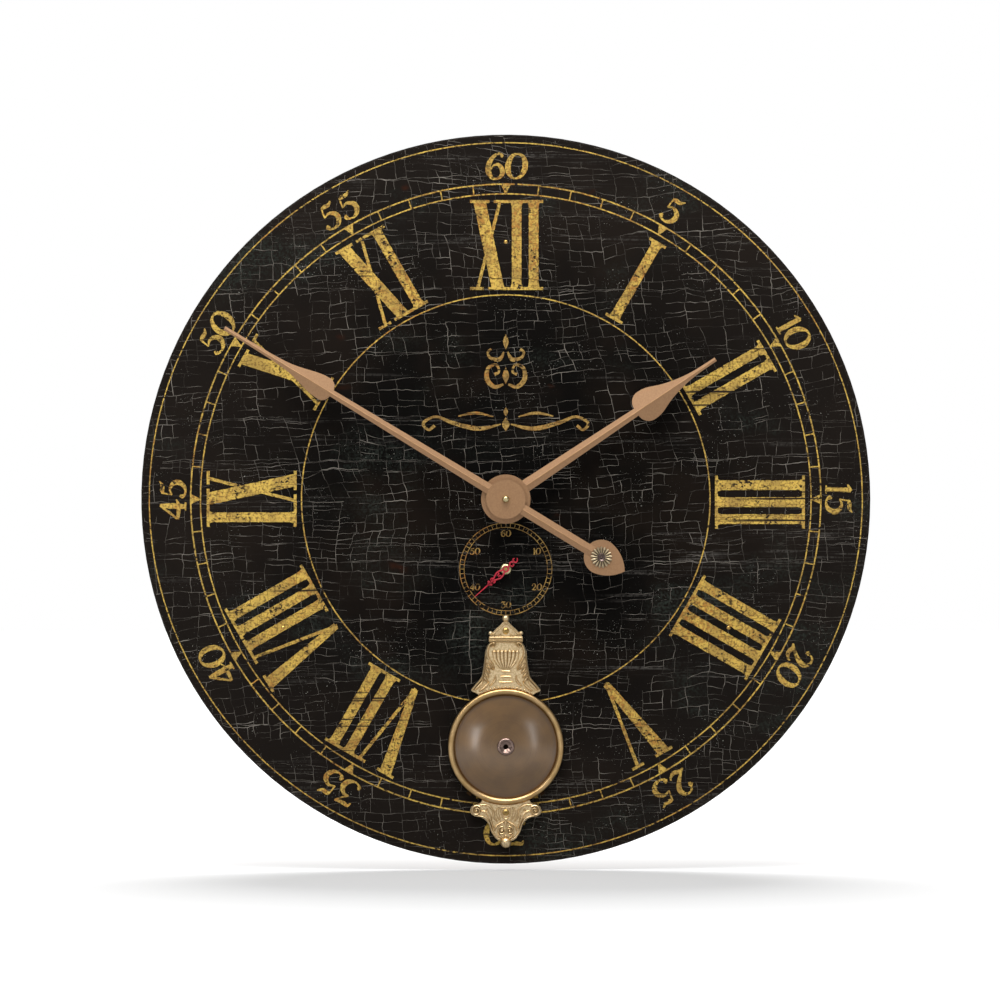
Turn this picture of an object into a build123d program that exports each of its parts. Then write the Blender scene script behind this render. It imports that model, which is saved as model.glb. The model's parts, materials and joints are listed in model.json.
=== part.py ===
"""Pendulum wall clock: a dial board on a hanging ring, with a geared battery movement,
three hands and an ornate bob that swings in front of the dial.

Lengths are in millimetres. +Z is up, the dial faces -Y and the wall is the plane Y = 0.
The origin is the keyhole in the hanger plate. "Forward" is the distance from the wall.
"""

import os
from math import asin, cos, pi, radians, sin

from build123d import *

os.makedirs("parts", exist_ok=True)

# Dial board, face and the ring behind them
DIAL_R = 292.0
BOARD_T = 9.0
BOARD_CHAMFER = 0.8
FACE_T = 0.4
RING_MEAN_R = 206.0
RING_WIDTH = 24.0
RING_DEPTH = 25.0
RING_ROUND = 1.5
PIN_COUNT = 3
PIN_HEAD_R = 1.6
PIN_HEAD_H = 0.8
PIN_SHANK_R = 0.9
PIN_GRIP = 8.0

# Keyhole hanger
KEYHOLE_R = 4.5
KEYHOLE_SLOT_HALF = 2.2
KEYHOLE_SLOT_RISE = 7.0
HANGER_W = 46.0
HANGER_H = 20.0
HANGER_CORNER = 3.0
HANGER_T = 1.5
HANGER_SCREW_X = 17.0
HANGER_HEAD_R = 3.2
HANGER_SHANK_R = 1.5
HANGER_SCREW_LENGTH = 14.0
NAIL_ROOM = 2.5
NAIL_DEPTH = 9.0

# Gear train, with the teeth of each pair and their modules
TRAIN_MODULE = 0.8
CENTRE_TEETH = 64
THIRD_PINION_TEETH = 8
THIRD_TEETH = 60
SECONDS_PINION_TEETH = 8
CANNON_MODULE = 0.5
CANNON_TEETH = 12
MOTION_TEETH = 36
HOUR_MODULE = 0.48
MOTION_PINION_TEETH = 10
HOUR_TEETH = 40
ADDENDUM = 0.75
DEDENDUM = 1.15
WHEEL_TOOTH_SHARE = 0.40
PINION_TOOTH_SHARE = 0.34
TIP_SHARE = 0.45
WHEEL_T = 1.2
PINION_OVERLAP = 0.6
LEVEL_GAP = 1.8

# Arbors and running fits
RUN_FIT = 0.05
END_SHAKE = 0.4
MINUTE_ARBOR_R = 1.7
MINUTE_TENON_R = 1.5
HOUR_PIPE_WALL = 0.75
THIRD_ARBOR_R = 1.2
THIRD_PIVOT_R = 0.8
SECONDS_ARBOR_R = 1.0
MOTION_STUD_R = 1.0
WHEEL_HUB_WALL = 1.8

# Movement case
CASE_STANDOFF = 4.0
COVER_T = 1.6
CASE_WALL = 2.0
CASE_CORNER = 4.0
CASE_CLEAR = 1.5
GASKET_T = 1.0
GASKET_WIDTH = 6.0
BEARING_BOSS_R = 2.8
MOTOR_R = 11.0
MOTOR_T = 4.8
BRACKET_W = 30.0
BRACKET_DEPTH = 11.0
BRACKET_FOOT = 4.0
COIL_R = 8.0
COIL_BORE_R = 3.0
BOARD_SIZE = (13.0, 18.0)
CIRCUIT_T = 1.2
CRYSTAL_R = 1.0
CRYSTAL_LENGTH = 6.0

# Battery and its contacts
BATTERY_R = 7.25
BATTERY_LENGTH = 49.2
BATTERY_NUB_R = 2.75
BATTERY_NUB = 1.3
BATTERY_ROOM = 0.6
CONTACT_T = 0.4
CONTACT_W = 9.0
SPRING_ROOM = 4.9
CRADLE_T = 2.5
CRADLE_INSET = 9.0

# Centre bush, washer and nut that clamp the movement to the dial
BUSH_WALL = 1.5
BUSH_FLANGE = 3.0
BUSH_FREE = 0.25
BUSH_REACH = 7.0
WASHER_R = 9.0
WASHER_T = 0.8
NUT_FLATS = 12.0
NUT_T = 3.0
SECONDS_BUSH_WALL = 1.4
SECONDS_BOSS_R = 4.7
SECONDS_BOSS_H = 1.6

# Hands: lengths are from the hub centre
HAND_T = 3.0
HAND_GAP = 1.6
HAND_SLOPE = 0.19
MINUTE_ANGLE = 301.3
MINUTE_LENGTH = 262.7
MINUTE_HUB_R = 15.8
MINUTE_ARM_HALF = 4.3
MINUTE_ARM_END_HALF = 2.8
MINUTE_LEAF_START = 162.8
MINUTE_LEAF_HALF = 9.6
TAIL_LEAF_AT = 89.2
TAIL_LEAF_R = 14.0
TAIL_LENGTH = 111.0
TAIL_T = 2.0
HOUR_ANGLE = 56.3
HOUR_LENGTH = 201.4
HOUR_HUB_R = 19.7
HOUR_ARM_HALF = 5.4
HOUR_ARM_END_HALF = 3.3
HOUR_LEAF_START = 125.4
HOUR_LEAF_HALF = 12.9
LEAF_BODY = 54.0
TIP_HALF = 1.65
ROSETTE_R = 8.6
ROSETTE_PETALS = 16
ROSETTE_T = 1.6
ROSETTE_EYE_R = 3.0
CAP_NUT_R = 2.8
CAP_NUT_H = 4.4
SECONDS_ANGLE = 228.3
SECONDS_LENGTH = 33.5
SECONDS_TAIL = 12.8
SECONDS_EYE_R = 2.5
SECONDS_HAND_T = 0.8
KNOB_R = 7.0
KNOB_T = 2.4
KNOB_FLUTES = 18
KNOB_FLUTE_R = 0.8

# Pendulum
SWING_DEG = 5.0
BOB_DROP = 198.0
BOB_CLEAR = 1.2
BEZEL_R = 46.35
BEZEL_WIDTH = 4.6
BEZEL_H = 5.2
BEZEL_BEAD_R = 0.6
SPINE_T = 1.4
SPINE_HALF_W = 8.0
LUG_REACH = 2.4
LUG_W = 4.0
LUG_ANGLE = 38.0
DISH_T = 0.8
DISH_RIM = 1.0
DISH_RISE = 5.2
EYELET_R = 7.0
EYELET_H = 1.7
EYELET_SHANK_R = 3.2
EYELET_HOLE_R = 2.0
POST_ABOVE_BEZEL = 46.25
POST_FLATS = 4.5
POST_SPIGOT_R = 1.5
SLOT_CLEAR = 1.0
PIVOT_ABOVE_POST = 27.4
PIVOT_PIN_R = 1.5
PIVOT_HEAD_R = 3.2
PIVOT_HEAD_T = 1.0
ARM_T = 4.0
ARM_HALF_W = 5.0
ARM_GAP = 1.3
MAGNET_R = 4.0
MAGNET_T = 2.5
MAGNET_BELOW_PIVOT = 15.0
SCREW_HEAD_R = 2.75
SCREW_HEAD_H = 1.2
SCREW_SHANK_R = 1.25
SCREW_SLOT_W = 0.7
PLATE_RELIEF = 2.6

# Crest of the bob, measured from the top of the bezel
CREST_H = 54.0
FINIAL_R = 2.9
PEDIMENT_HALF = 12.9
PEDIMENT_FOOT = 40.4
SCROLL_BALL_R = 1.7
CORNICE_HALF = 13.6
CORNICE_H = 2.9
CREST_FOOT_HALF = 27.6
URN_TOP_HALF = 11.5
URN_NECK_HALF = 3.2
URN_TOP = 30.0
URN_H = 14.5
URN_LIP_H = 1.8
URN_FLUTES = 7
FLUTE_GROOVE_W = 0.7
FLUTE_DEPTH = 0.6
URN_FOOT_STEPS = 3
URN_STEP_PITCH = 4.0
URN_STEP_H = 2.0
URN_STEP_GROWTH = 1.0
VOLUTE_R = 1.6
HANDLE_W = 1.3
FOOT_LEAF_H = 0.7
BEAD_R = 0.9
BEAD_COUNT = 15
BEAD_PITCH_ANGLE = 3.4

# Pendant of the bob, measured from the bottom of the bezel
PENDANT_H = 29.0
PENDANT_SCROLL_X = 23.6
PENDANT_SCROLL_DROP = 5.0
PENDANT_SCROLL_R = 4.9
PENDANT_WAIST_HALF = 14.0
PENDANT_BALL_R = 4.4
PENDANT_SCREW_DROP = 6.2
SHIELD_HALF = 3.5
SHIELD_RISE = 3.6
SHIELD_FALL = 5.4
MOULDING_W = 1.2
MOULDING_H = 0.7
PALMETTE_BALL_R = 1.7
PALMETTE_AT = 21.5

# Places that follow from the sizes above
HUB_Z = -RING_MEAN_R
BOARD_BACK = RING_DEPTH
BOARD_FRONT = BOARD_BACK + BOARD_T
FACE_FRONT = BOARD_FRONT + FACE_T
COVER_FRONT = CASE_STANDOFF + COVER_T
CASE_FRONT = BOARD_BACK - GASKET_T
CASE_INNER_FRONT = CASE_FRONT - CASE_WALL

CENTRE_PITCH_R = TRAIN_MODULE * CENTRE_TEETH / 2
THIRD_PINION_PITCH_R = TRAIN_MODULE * THIRD_PINION_TEETH / 2
THIRD_PITCH_R = TRAIN_MODULE * THIRD_TEETH / 2
SECONDS_PINION_PITCH_R = TRAIN_MODULE * SECONDS_PINION_TEETH / 2
THIRD_DROP = CENTRE_PITCH_R + THIRD_PINION_PITCH_R
SECONDS_DROP = THIRD_DROP + THIRD_PITCH_R + SECONDS_PINION_PITCH_R
MOTION_RISE = CANNON_MODULE * (CANNON_TEETH + MOTION_TEETH) / 2
TRAIN_TIP = ADDENDUM * TRAIN_MODULE

# The wheels stand in four levels, from the cover forward to the dial
CENTRE_LEVEL = COVER_FRONT + LEVEL_GAP + PINION_OVERLAP
THIRD_LEVEL = CENTRE_LEVEL + WHEEL_T + LEVEL_GAP
MOTION_LEVEL = THIRD_LEVEL + WHEEL_T + LEVEL_GAP + PINION_OVERLAP
HOUR_LEVEL = MOTION_LEVEL + WHEEL_T + LEVEL_GAP

HOUR_PIPE_BORE = MINUTE_ARBOR_R + RUN_FIT
HOUR_PIPE_R = HOUR_PIPE_BORE + HOUR_PIPE_WALL
BUSH_BORE = HOUR_PIPE_R + RUN_FIT
BUSH_R = BUSH_BORE + BUSH_WALL
BUSH_FLANGE_R = BUSH_R + BUSH_FLANGE
BUSH_END = FACE_FRONT + WASHER_T + NUT_T + BUSH_REACH / 2
SECONDS_BUSH_BORE = SECONDS_ARBOR_R + RUN_FIT
SECONDS_BUSH_R = SECONDS_BUSH_BORE + SECONDS_BUSH_WALL

CASE_HALF_W = CENTRE_PITCH_R + TRAIN_TIP + CASE_CLEAR + CASE_WALL
MAIN_TOP = CASE_HALF_W
MAIN_BOTTOM = -(SECONDS_DROP + MOTOR_R + CASE_CLEAR + CASE_WALL)
BAY_INNER_H = 2 * (BATTERY_R + BATTERY_ROOM)
BAY_TOP = MAIN_TOP + BAY_INNER_H + CASE_WALL
BAY_INNER_HALF = CONTACT_T / 2 + (BATTERY_NUB + BATTERY_LENGTH + SPRING_ROOM) / 2
BATTERY_UP = MAIN_TOP + BAY_INNER_H / 2
BATTERY_FORWARD = CASE_STANDOFF + BATTERY_ROOM + BATTERY_R
CASE_OUTER_HALF = max(CASE_HALF_W, BAY_INNER_HALF + CASE_WALL)

BOB_BACK = FACE_FRONT + BOB_CLEAR
SPINE_FRONT = BOB_BACK + SPINE_T
BEZEL_INNER_R = BEZEL_R - BEZEL_WIDTH
BEZEL_TOP_DROP = BOB_DROP - BEZEL_R
BEZEL_BOTTOM_DROP = BOB_DROP + BEZEL_R
POST_DROP = BEZEL_TOP_DROP - POST_ABOVE_BEZEL
PIVOT_DROP = POST_DROP - PIVOT_ABOVE_POST
MAGNET_DROP = PIVOT_DROP + MAGNET_BELOW_PIVOT
BRACKET_FRONT = CASE_STANDOFF + BRACKET_DEPTH
BRACKET_BOTTOM = -(MAGNET_DROP + COIL_R + BRACKET_FOOT)
ARM_BACK = BRACKET_FRONT + ARM_GAP
ARM_FRONT = ARM_BACK + ARM_T
POST_R = POST_FLATS / 2 / cos(radians(30))
SLOT_HALF_W = PIVOT_ABOVE_POST * sin(radians(SWING_DEG)) + POST_R + SLOT_CLEAR
SLOT_HALF_H = POST_R + SLOT_CLEAR
DISH_FRONT = SPINE_FRONT + DISH_RIM + DISH_RISE
BOB_FRONT = DISH_FRONT + EYELET_H

HOUR_BACK = BOB_FRONT + HAND_GAP
HOUR_FRONT = HOUR_BACK + HAND_T
MINUTE_BACK = HOUR_FRONT + HAND_GAP
MINUTE_FRONT = MINUTE_BACK + HAND_T
SECONDS_BACK = FACE_FRONT + SECONDS_BOSS_H + END_SHAKE
SECONDS_FRONT = SECONDS_BACK + SECONDS_HAND_T


def facing(x, up, forward, turn=0.0):
    """Plane that faces the viewer at a place given from the hub, with +Y up.

    turn is clockwise as seen from the front and moves the plane's +Y to that clock angle.
    """
    side = (cos(radians(turn)), 0, -sin(radians(turn)))
    return Plane(origin=(x, -forward, HUB_Z + up), x_dir=side, z_dir=(0, -1, 0))


def half_section(x, up):
    """Plane through an arbor: local X is the radius and local Y is forward."""
    return Plane(origin=(x, 0, HUB_Z + up), x_dir=(1, 0, 0), z_dir=(0, 0, -1))


def arbor_axis(x, up):
    """Axis of an arbor, pointing forward."""
    return Axis((x, 0, HUB_Z + up), (0, -1, 0))


def toothed_disc(teeth, module, tooth_share, phase):
    """Draw a gear in the active sketch, with one tooth pointing along phase degrees."""
    pitch_r = module * teeth / 2
    root_r = pitch_r - DEDENDUM * module
    tip_r = pitch_r + ADDENDUM * module
    half = tooth_share * pi * module / 2
    sunk = 0.2 * module
    Circle(root_r)
    with PolarLocations(0, teeth, start_angle=phase):
        Polygon(
            (root_r - sunk, -half),
            (pitch_r, -half),
            (tip_r, -TIP_SHARE * half),
            (tip_r, TIP_SHARE * half),
            (pitch_r, half),
            (root_r - sunk, half),
            align=None,
        )


def dome(radius, base, height):
    """Draw the half profile of a ball-shaped cap in the active line, from its edge to its top."""
    ball_r = (radius**2 + height**2) / (2 * height)
    centre = base + height - ball_r
    half_turn = asin(radius / ball_r) / 2
    middle = (ball_r * sin(half_turn), centre + ball_r * cos(half_turn))
    ThreePointArc((radius, base), middle, (0, base + height))


def save(builder, name):
    """Label a finished sub-part and write its STEP file."""
    builder.part.label = name
    export_step(builder.part, f"parts/{name}.step")


# Backing ring of fibreboard, with a pocket behind the keyhole for the nail
with BuildPart() as backing_ring:
    with BuildSketch(facing(0, 0, 0)):
        Circle(RING_MEAN_R + RING_WIDTH / 2)
        Circle(RING_MEAN_R - RING_WIDTH / 2, mode=Mode.SUBTRACT)
    extrude(amount=RING_DEPTH)
    fillet(backing_ring.faces().sort_by(Axis.Y)[-1].edges(), RING_ROUND)
    with BuildSketch(facing(0, RING_MEAN_R, 0)):
        RectangleRounded(HANGER_W, HANGER_H, HANGER_CORNER)
    extrude(amount=HANGER_T, mode=Mode.SUBTRACT)
    with BuildSketch(facing(0, RING_MEAN_R, HANGER_T)):
        Circle(KEYHOLE_R + NAIL_ROOM)
        with Locations((0, KEYHOLE_SLOT_RISE / 2)):
            Rectangle(2 * (KEYHOLE_R + NAIL_ROOM), KEYHOLE_SLOT_RISE)
    extrude(amount=NAIL_DEPTH, mode=Mode.SUBTRACT)
    with BuildSketch(facing(0, RING_MEAN_R, HANGER_T)):
        with Locations((-HANGER_SCREW_X, 0), (HANGER_SCREW_X, 0)):
            Circle(HANGER_SHANK_R)
    extrude(amount=HANGER_SCREW_LENGTH - HANGER_T, mode=Mode.SUBTRACT)
    with BuildSketch(facing(0, 0, RING_DEPTH)):
        with PolarLocations(RING_MEAN_R, PIN_COUNT, start_angle=90):
            Circle(PIN_SHANK_R)
    extrude(amount=-PIN_GRIP, mode=Mode.SUBTRACT)
save(backing_ring, "backing_ring")

# Keyhole hanger plate, let in flush with the wall side of the ring
with BuildPart() as keyhole_hanger:
    with BuildSketch(facing(0, RING_MEAN_R, 0)):
        RectangleRounded(HANGER_W, HANGER_H, HANGER_CORNER)
        Circle(KEYHOLE_R, mode=Mode.SUBTRACT)
        with Locations((0, KEYHOLE_SLOT_RISE / 2)):
            Rectangle(2 * KEYHOLE_SLOT_HALF, KEYHOLE_SLOT_RISE, mode=Mode.SUBTRACT)
        with Locations((0, KEYHOLE_SLOT_RISE)):
            Circle(KEYHOLE_SLOT_HALF, mode=Mode.SUBTRACT)
    extrude(amount=HANGER_T)
    with Locations(*[facing(x, RING_MEAN_R, 0).location for x in (-HANGER_SCREW_X, HANGER_SCREW_X)]):
        with Locations((0, 0, HANGER_T / 2)):
            Cone(HANGER_HEAD_R, HANGER_SHANK_R, HANGER_T, mode=Mode.SUBTRACT)
save(keyhole_hanger, "keyhole_hanger")

# Countersunk screws of the hanger
for side, x in (("left", -HANGER_SCREW_X), ("right", HANGER_SCREW_X)):
    with BuildPart() as hanger_screw:
        with BuildSketch(half_section(x, RING_MEAN_R)):
            Polygon(
                (0, 0),
                (HANGER_HEAD_R, 0),
                (HANGER_SHANK_R, HANGER_T),
                (HANGER_SHANK_R, HANGER_SCREW_LENGTH - HANGER_SHANK_R),
                (0, HANGER_SCREW_LENGTH),
                align=None,
            )
        revolve(axis=arbor_axis(x, RING_MEAN_R))
    save(hanger_screw, f"hanger_screw_{side}")

# Dial board, bored for the bushes and slotted for the pendulum post
with BuildPart() as dial_board:
    with BuildSketch(facing(0, 0, BOARD_BACK)):
        Circle(DIAL_R)
        Circle(BUSH_R + BUSH_FREE, mode=Mode.SUBTRACT)
        with Locations((0, -SECONDS_DROP)):
            Circle(SECONDS_BUSH_R, mode=Mode.SUBTRACT)
        with Locations((0, -POST_DROP)):
            SlotOverall(2 * SLOT_HALF_W, 2 * SLOT_HALF_H, mode=Mode.SUBTRACT)
        with PolarLocations(RING_MEAN_R, PIN_COUNT, start_angle=90):
            Circle(PIN_SHANK_R, mode=Mode.SUBTRACT)
    extrude(amount=BOARD_T)
    rim = dial_board.edges().filter_by(GeomType.CIRCLE).group_by(SortBy.RADIUS)[-1]
    chamfer(rim, BOARD_CHAMFER)
save(dial_board, "dial_board")

# Printed face laminated on the board
with BuildPart() as dial_face:
    with BuildSketch(facing(0, 0, BOARD_FRONT)):
        Circle(DIAL_R - BOARD_CHAMFER)
        Circle(BUSH_R + BUSH_FREE, mode=Mode.SUBTRACT)
        with Locations((0, -SECONDS_DROP)):
            Circle(SECONDS_BUSH_R, mode=Mode.SUBTRACT)
        with Locations((0, -POST_DROP)):
            SlotOverall(2 * SLOT_HALF_W, 2 * SLOT_HALF_H, mode=Mode.SUBTRACT)
        with PolarLocations(RING_MEAN_R, PIN_COUNT, start_angle=90):
            Circle(PIN_SHANK_R, mode=Mode.SUBTRACT)
    extrude(amount=FACE_T)
save(dial_face, "dial_face")

# Brass pins through face and board into the ring, at 12, 8 and 4 o'clock
for index in range(PIN_COUNT):
    pin_angle = radians(90 + index * 360 / PIN_COUNT)
    pin_x = RING_MEAN_R * cos(pin_angle)
    pin_up = RING_MEAN_R * sin(pin_angle)
    with BuildPart() as dial_pin:
        with BuildSketch(half_section(pin_x, pin_up)):
            with BuildLine():
                Polyline(
                    (0, FACE_FRONT + PIN_HEAD_H),
                    (0, BOARD_BACK - PIN_GRIP),
                    (PIN_SHANK_R, BOARD_BACK - PIN_GRIP + PIN_SHANK_R),
                    (PIN_SHANK_R, FACE_FRONT),
                    (PIN_HEAD_R, FACE_FRONT),
                )
                dome(PIN_HEAD_R, FACE_FRONT, PIN_HEAD_H)
            make_face()
        revolve(axis=arbor_axis(pin_x, pin_up))
    save(dial_pin, f"dial_pin_{index + 1}")

# Movement case: a moulded shell with a battery trough above and a pendulum bracket below
with BuildPart() as movement_case:
    with BuildSketch(facing(0, (BAY_TOP + MAIN_BOTTOM) / 2, COVER_FRONT)) as case_outline:
        Rectangle(2 * CASE_OUTER_HALF, BAY_TOP - MAIN_BOTTOM)
        fillet(case_outline.vertices(), CASE_CORNER)
    extrude(amount=CASE_FRONT - COVER_FRONT)
    with BuildSketch(facing(0, (BAY_TOP + MAIN_TOP - CASE_WALL) / 2, CASE_STANDOFF)) as bay_outline:
        Rectangle(2 * CASE_OUTER_HALF, BAY_TOP - MAIN_TOP + CASE_WALL)
        fillet(bay_outline.vertices().sort_by(Axis.Y)[-2:], CASE_CORNER)
    extrude(amount=COVER_T)
    with BuildSketch(facing(0, 0, COVER_FRONT)) as bracket_outline:
        with Locations((0, (MAIN_BOTTOM + CASE_WALL + BRACKET_BOTTOM) / 2)):
            Rectangle(BRACKET_W, MAIN_BOTTOM + CASE_WALL - BRACKET_BOTTOM)
        fillet(bracket_outline.vertices().sort_by(Axis.Y)[:2], CASE_CORNER)
    extrude(amount=BRACKET_FRONT - COVER_FRONT)
    with BuildSketch(facing(0, 0, COVER_FRONT)) as wheel_room:
        with Locations((0, (MAIN_TOP - CASE_WALL + MAIN_BOTTOM + CASE_WALL) / 2)):
            Rectangle(2 * (CASE_OUTER_HALF - CASE_WALL), MAIN_TOP - MAIN_BOTTOM - 2 * CASE_WALL)
    extrude(amount=CASE_INNER_FRONT - COVER_FRONT, mode=Mode.SUBTRACT)
    with BuildSketch(facing(0, 0, COVER_FRONT)) as coil_room:
        with Locations((0, (MAIN_BOTTOM + BRACKET_BOTTOM + CASE_WALL) / 2)):
            Rectangle(BRACKET_W - 2 * CASE_WALL, MAIN_BOTTOM - BRACKET_BOTTOM - CASE_WALL)
    extrude(amount=BRACKET_FRONT - CASE_WALL - COVER_FRONT, mode=Mode.SUBTRACT)
    with BuildSketch(facing(0, BATTERY_UP, CASE_STANDOFF)) as battery_room:
        Rectangle(2 * BAY_INNER_HALF, BAY_INNER_H)
    extrude(amount=CASE_INNER_FRONT - CASE_STANDOFF, mode=Mode.SUBTRACT)
    # two cradle ribs carry the battery
    with BuildSketch(facing(0, BATTERY_UP, BATTERY_FORWARD)):
        with Locations((-CRADLE_INSET, 0), (CRADLE_INSET, 0)):
            Rectangle(CRADLE_T, BAY_INNER_H)
    extrude(amount=CASE_INNER_FRONT - BATTERY_FORWARD)
    with Locations(Plane(origin=(0, -BATTERY_FORWARD, HUB_Z + BATTERY_UP), z_dir=(1, 0, 0)).location):
        Cylinder(BATTERY_R, 2 * (CRADLE_INSET + CRADLE_T), mode=Mode.SUBTRACT)
    # bosses inside the front wall: third arbor bearing and the motion wheel's stud
    with BuildSketch(facing(0, 0, CASE_INNER_FRONT)):
        with Locations((0, -THIRD_DROP)):
            Circle(BEARING_BOSS_R)
    extrude(amount=-LEVEL_GAP)
    with BuildSketch(facing(0, 0, CASE_INNER_FRONT)):
        with Locations((0, MOTION_RISE)):
            Circle(2 * MOTION_STUD_R)
    extrude(amount=-(CASE_INNER_FRONT - HOUR_LEVEL - WHEEL_T - PINION_OVERLAP - END_SHAKE))
    with BuildSketch(facing(0, 0, CASE_INNER_FRONT)):
        with Locations((0, MOTION_RISE)):
            Circle(MOTION_STUD_R)
    extrude(amount=-(CASE_INNER_FRONT - MOTION_LEVEL + PINION_OVERLAP))
    with BuildSketch(facing(0, 0, CASE_FRONT)):
        Circle(BUSH_R)
        with Locations((0, -SECONDS_DROP)):
            Circle(SECONDS_BUSH_R)
    extrude(amount=-CASE_WALL, mode=Mode.SUBTRACT)
    with BuildSketch(facing(0, 0, CASE_INNER_FRONT - LEVEL_GAP)):
        with Locations((0, -THIRD_DROP)):
            Circle(THIRD_PIVOT_R + RUN_FIT)
    extrude(amount=LEVEL_GAP, mode=Mode.SUBTRACT)
    with BuildSketch(facing(0, -PIVOT_DROP, BRACKET_FRONT - CASE_WALL)):
        Circle(PIVOT_PIN_R)
    extrude(amount=CASE_WALL, mode=Mode.SUBTRACT)
save(movement_case, "movement_case")

# Rear cover with the bearings of the minute and third arbors
with BuildPart() as movement_cover:
    with BuildSketch(facing(0, 0, CASE_STANDOFF)) as cover_outline:
        with Locations((0, (MAIN_TOP - CASE_WALL + MAIN_BOTTOM) / 2)):
            Rectangle(2 * CASE_OUTER_HALF, MAIN_TOP - CASE_WALL - MAIN_BOTTOM)
        fillet(cover_outline.vertices().sort_by(Axis.Y)[:2], CASE_CORNER)
    extrude(amount=COVER_T)
    with BuildSketch(facing(0, 0, CASE_STANDOFF)) as tongue_outline:
        with Locations((0, (MAIN_BOTTOM + CASE_WALL + BRACKET_BOTTOM) / 2)):
            Rectangle(BRACKET_W, MAIN_BOTTOM + CASE_WALL - BRACKET_BOTTOM)
        fillet(tongue_outline.vertices().sort_by(Axis.Y)[:2], CASE_CORNER)
    extrude(amount=COVER_T)
    with BuildSketch(facing(0, 0, CASE_STANDOFF)):
        Circle(MINUTE_ARBOR_R + RUN_FIT)
        with Locations((0, -THIRD_DROP)):
            Circle(THIRD_PIVOT_R + RUN_FIT)
    extrude(amount=COVER_T, mode=Mode.SUBTRACT)
save(movement_cover, "movement_cover")

# Battery lying across the trough, plus end to the left
BATTERY_PLUS_X = -BAY_INNER_HALF + CONTACT_T
BATTERY_BODY_X = BATTERY_PLUS_X + BATTERY_NUB
BATTERY_END_X = BATTERY_BODY_X + BATTERY_LENGTH
with BuildPart() as battery:
    with BuildSketch(facing(0, BATTERY_UP, BATTERY_FORWARD)):
        Polygon(
            (BATTERY_PLUS_X, 0),
            (BATTERY_PLUS_X, BATTERY_NUB_R),
            (BATTERY_BODY_X, BATTERY_NUB_R),
            (BATTERY_BODY_X, BATTERY_R),
            (BATTERY_END_X, BATTERY_R),
            (BATTERY_END_X, 0),
            align=None,
        )
    revolve(axis=Axis((0, -BATTERY_FORWARD, HUB_Z + BATTERY_UP), (1, 0, 0)))
save(battery, "battery")

# Plus contact: a plate on the left wall of the trough
with BuildPart() as contact_plus:
    with BuildSketch(facing(-BAY_INNER_HALF + CONTACT_T / 2, BATTERY_UP, BATTERY_FORWARD)):
        Rectangle(CONTACT_T, CONTACT_W)
    extrude(amount=CONTACT_W / 2, both=True)
save(contact_plus, "contact_plus")

# Minus contact: a bent leaf spring between the right wall and the battery
with BuildPart() as contact_spring:
    with BuildSketch(facing(0, BATTERY_UP, BATTERY_FORWARD)):
        Polygon(
            (BAY_INNER_HALF, CONTACT_W / 2),
            (BAY_INNER_HALF, 0),
            (BATTERY_END_X + CONTACT_T, -CONTACT_W / 2),
            (BATTERY_END_X, -CONTACT_W / 2),
            (BATTERY_END_X, -CONTACT_W / 3),
            (BAY_INNER_HALF - CONTACT_T, CONTACT_T),
            (BAY_INNER_HALF - CONTACT_T, CONTACT_W / 2),
            align=None,
        )
    extrude(amount=CONTACT_W / 3, both=True)
save(contact_spring, "contact_spring")

# Geared stepper can that drives the seconds arbor
with BuildPart() as seconds_motor:
    with BuildSketch(facing(0, -SECONDS_DROP, COVER_FRONT)):
        Circle(MOTOR_R)
    extrude(amount=MOTOR_T)
    chamfer(seconds_motor.faces().sort_by(Axis.Y)[0].edges(), RUN_FIT * 10)
    with BuildSketch(facing(0, -SECONDS_DROP, COVER_FRONT + MOTOR_T)):
        Circle(SECONDS_ARBOR_R + RUN_FIT)
    extrude(amount=-(MOTOR_T - END_SHAKE), mode=Mode.SUBTRACT)
save(seconds_motor, "seconds_motor")

# Circuit board beside the stepper, with its quartz crystal
CIRCUIT_X = CASE_OUTER_HALF - CASE_WALL - CASE_CLEAR - BOARD_SIZE[0] / 2
CIRCUIT_UP = MAIN_BOTTOM + CASE_WALL + CASE_CLEAR + BOARD_SIZE[1] / 2
with BuildPart() as circuit_board:
    with BuildSketch(facing(CIRCUIT_X, CIRCUIT_UP, COVER_FRONT)):
        Rectangle(*BOARD_SIZE)
    extrude(amount=CIRCUIT_T)
save(circuit_board, "circuit_board")

with BuildPart() as quartz_crystal:
    crystal_forward = COVER_FRONT + CIRCUIT_T + CRYSTAL_R
    with Locations(Plane((CIRCUIT_X, -crystal_forward, HUB_Z + CIRCUIT_UP), z_dir=(0, 0, 1)).location):
        Cylinder(CRYSTAL_R, CRYSTAL_LENGTH)
save(quartz_crystal, "quartz_crystal")

# Drive coil that pushes the pendulum's magnet
with BuildPart() as drive_coil:
    with BuildSketch(facing(0, -MAGNET_DROP, COVER_FRONT)):
        Circle(COIL_R)
        Circle(COIL_BORE_R, mode=Mode.SUBTRACT)
    extrude(amount=BRACKET_FRONT - CASE_WALL - COVER_FRONT)
save(drive_coil, "drive_coil")

# Headed pivot pin of the pendulum, pressed into the bracket
with BuildPart() as pivot_pin:
    pin_head_back = ARM_FRONT + END_SHAKE
    with BuildSketch(half_section(0, -PIVOT_DROP)):
        Polygon(
            (0, BRACKET_FRONT - CASE_WALL),
            (PIVOT_PIN_R, BRACKET_FRONT - CASE_WALL),
            (PIVOT_PIN_R, pin_head_back),
            (PIVOT_HEAD_R, pin_head_back),
            (PIVOT_HEAD_R, pin_head_back + PIVOT_HEAD_T),
            (0, pin_head_back + PIVOT_HEAD_T),
            align=None,
        )
    revolve(axis=arbor_axis(0, -PIVOT_DROP))
save(pivot_pin, "pivot_pin")

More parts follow.
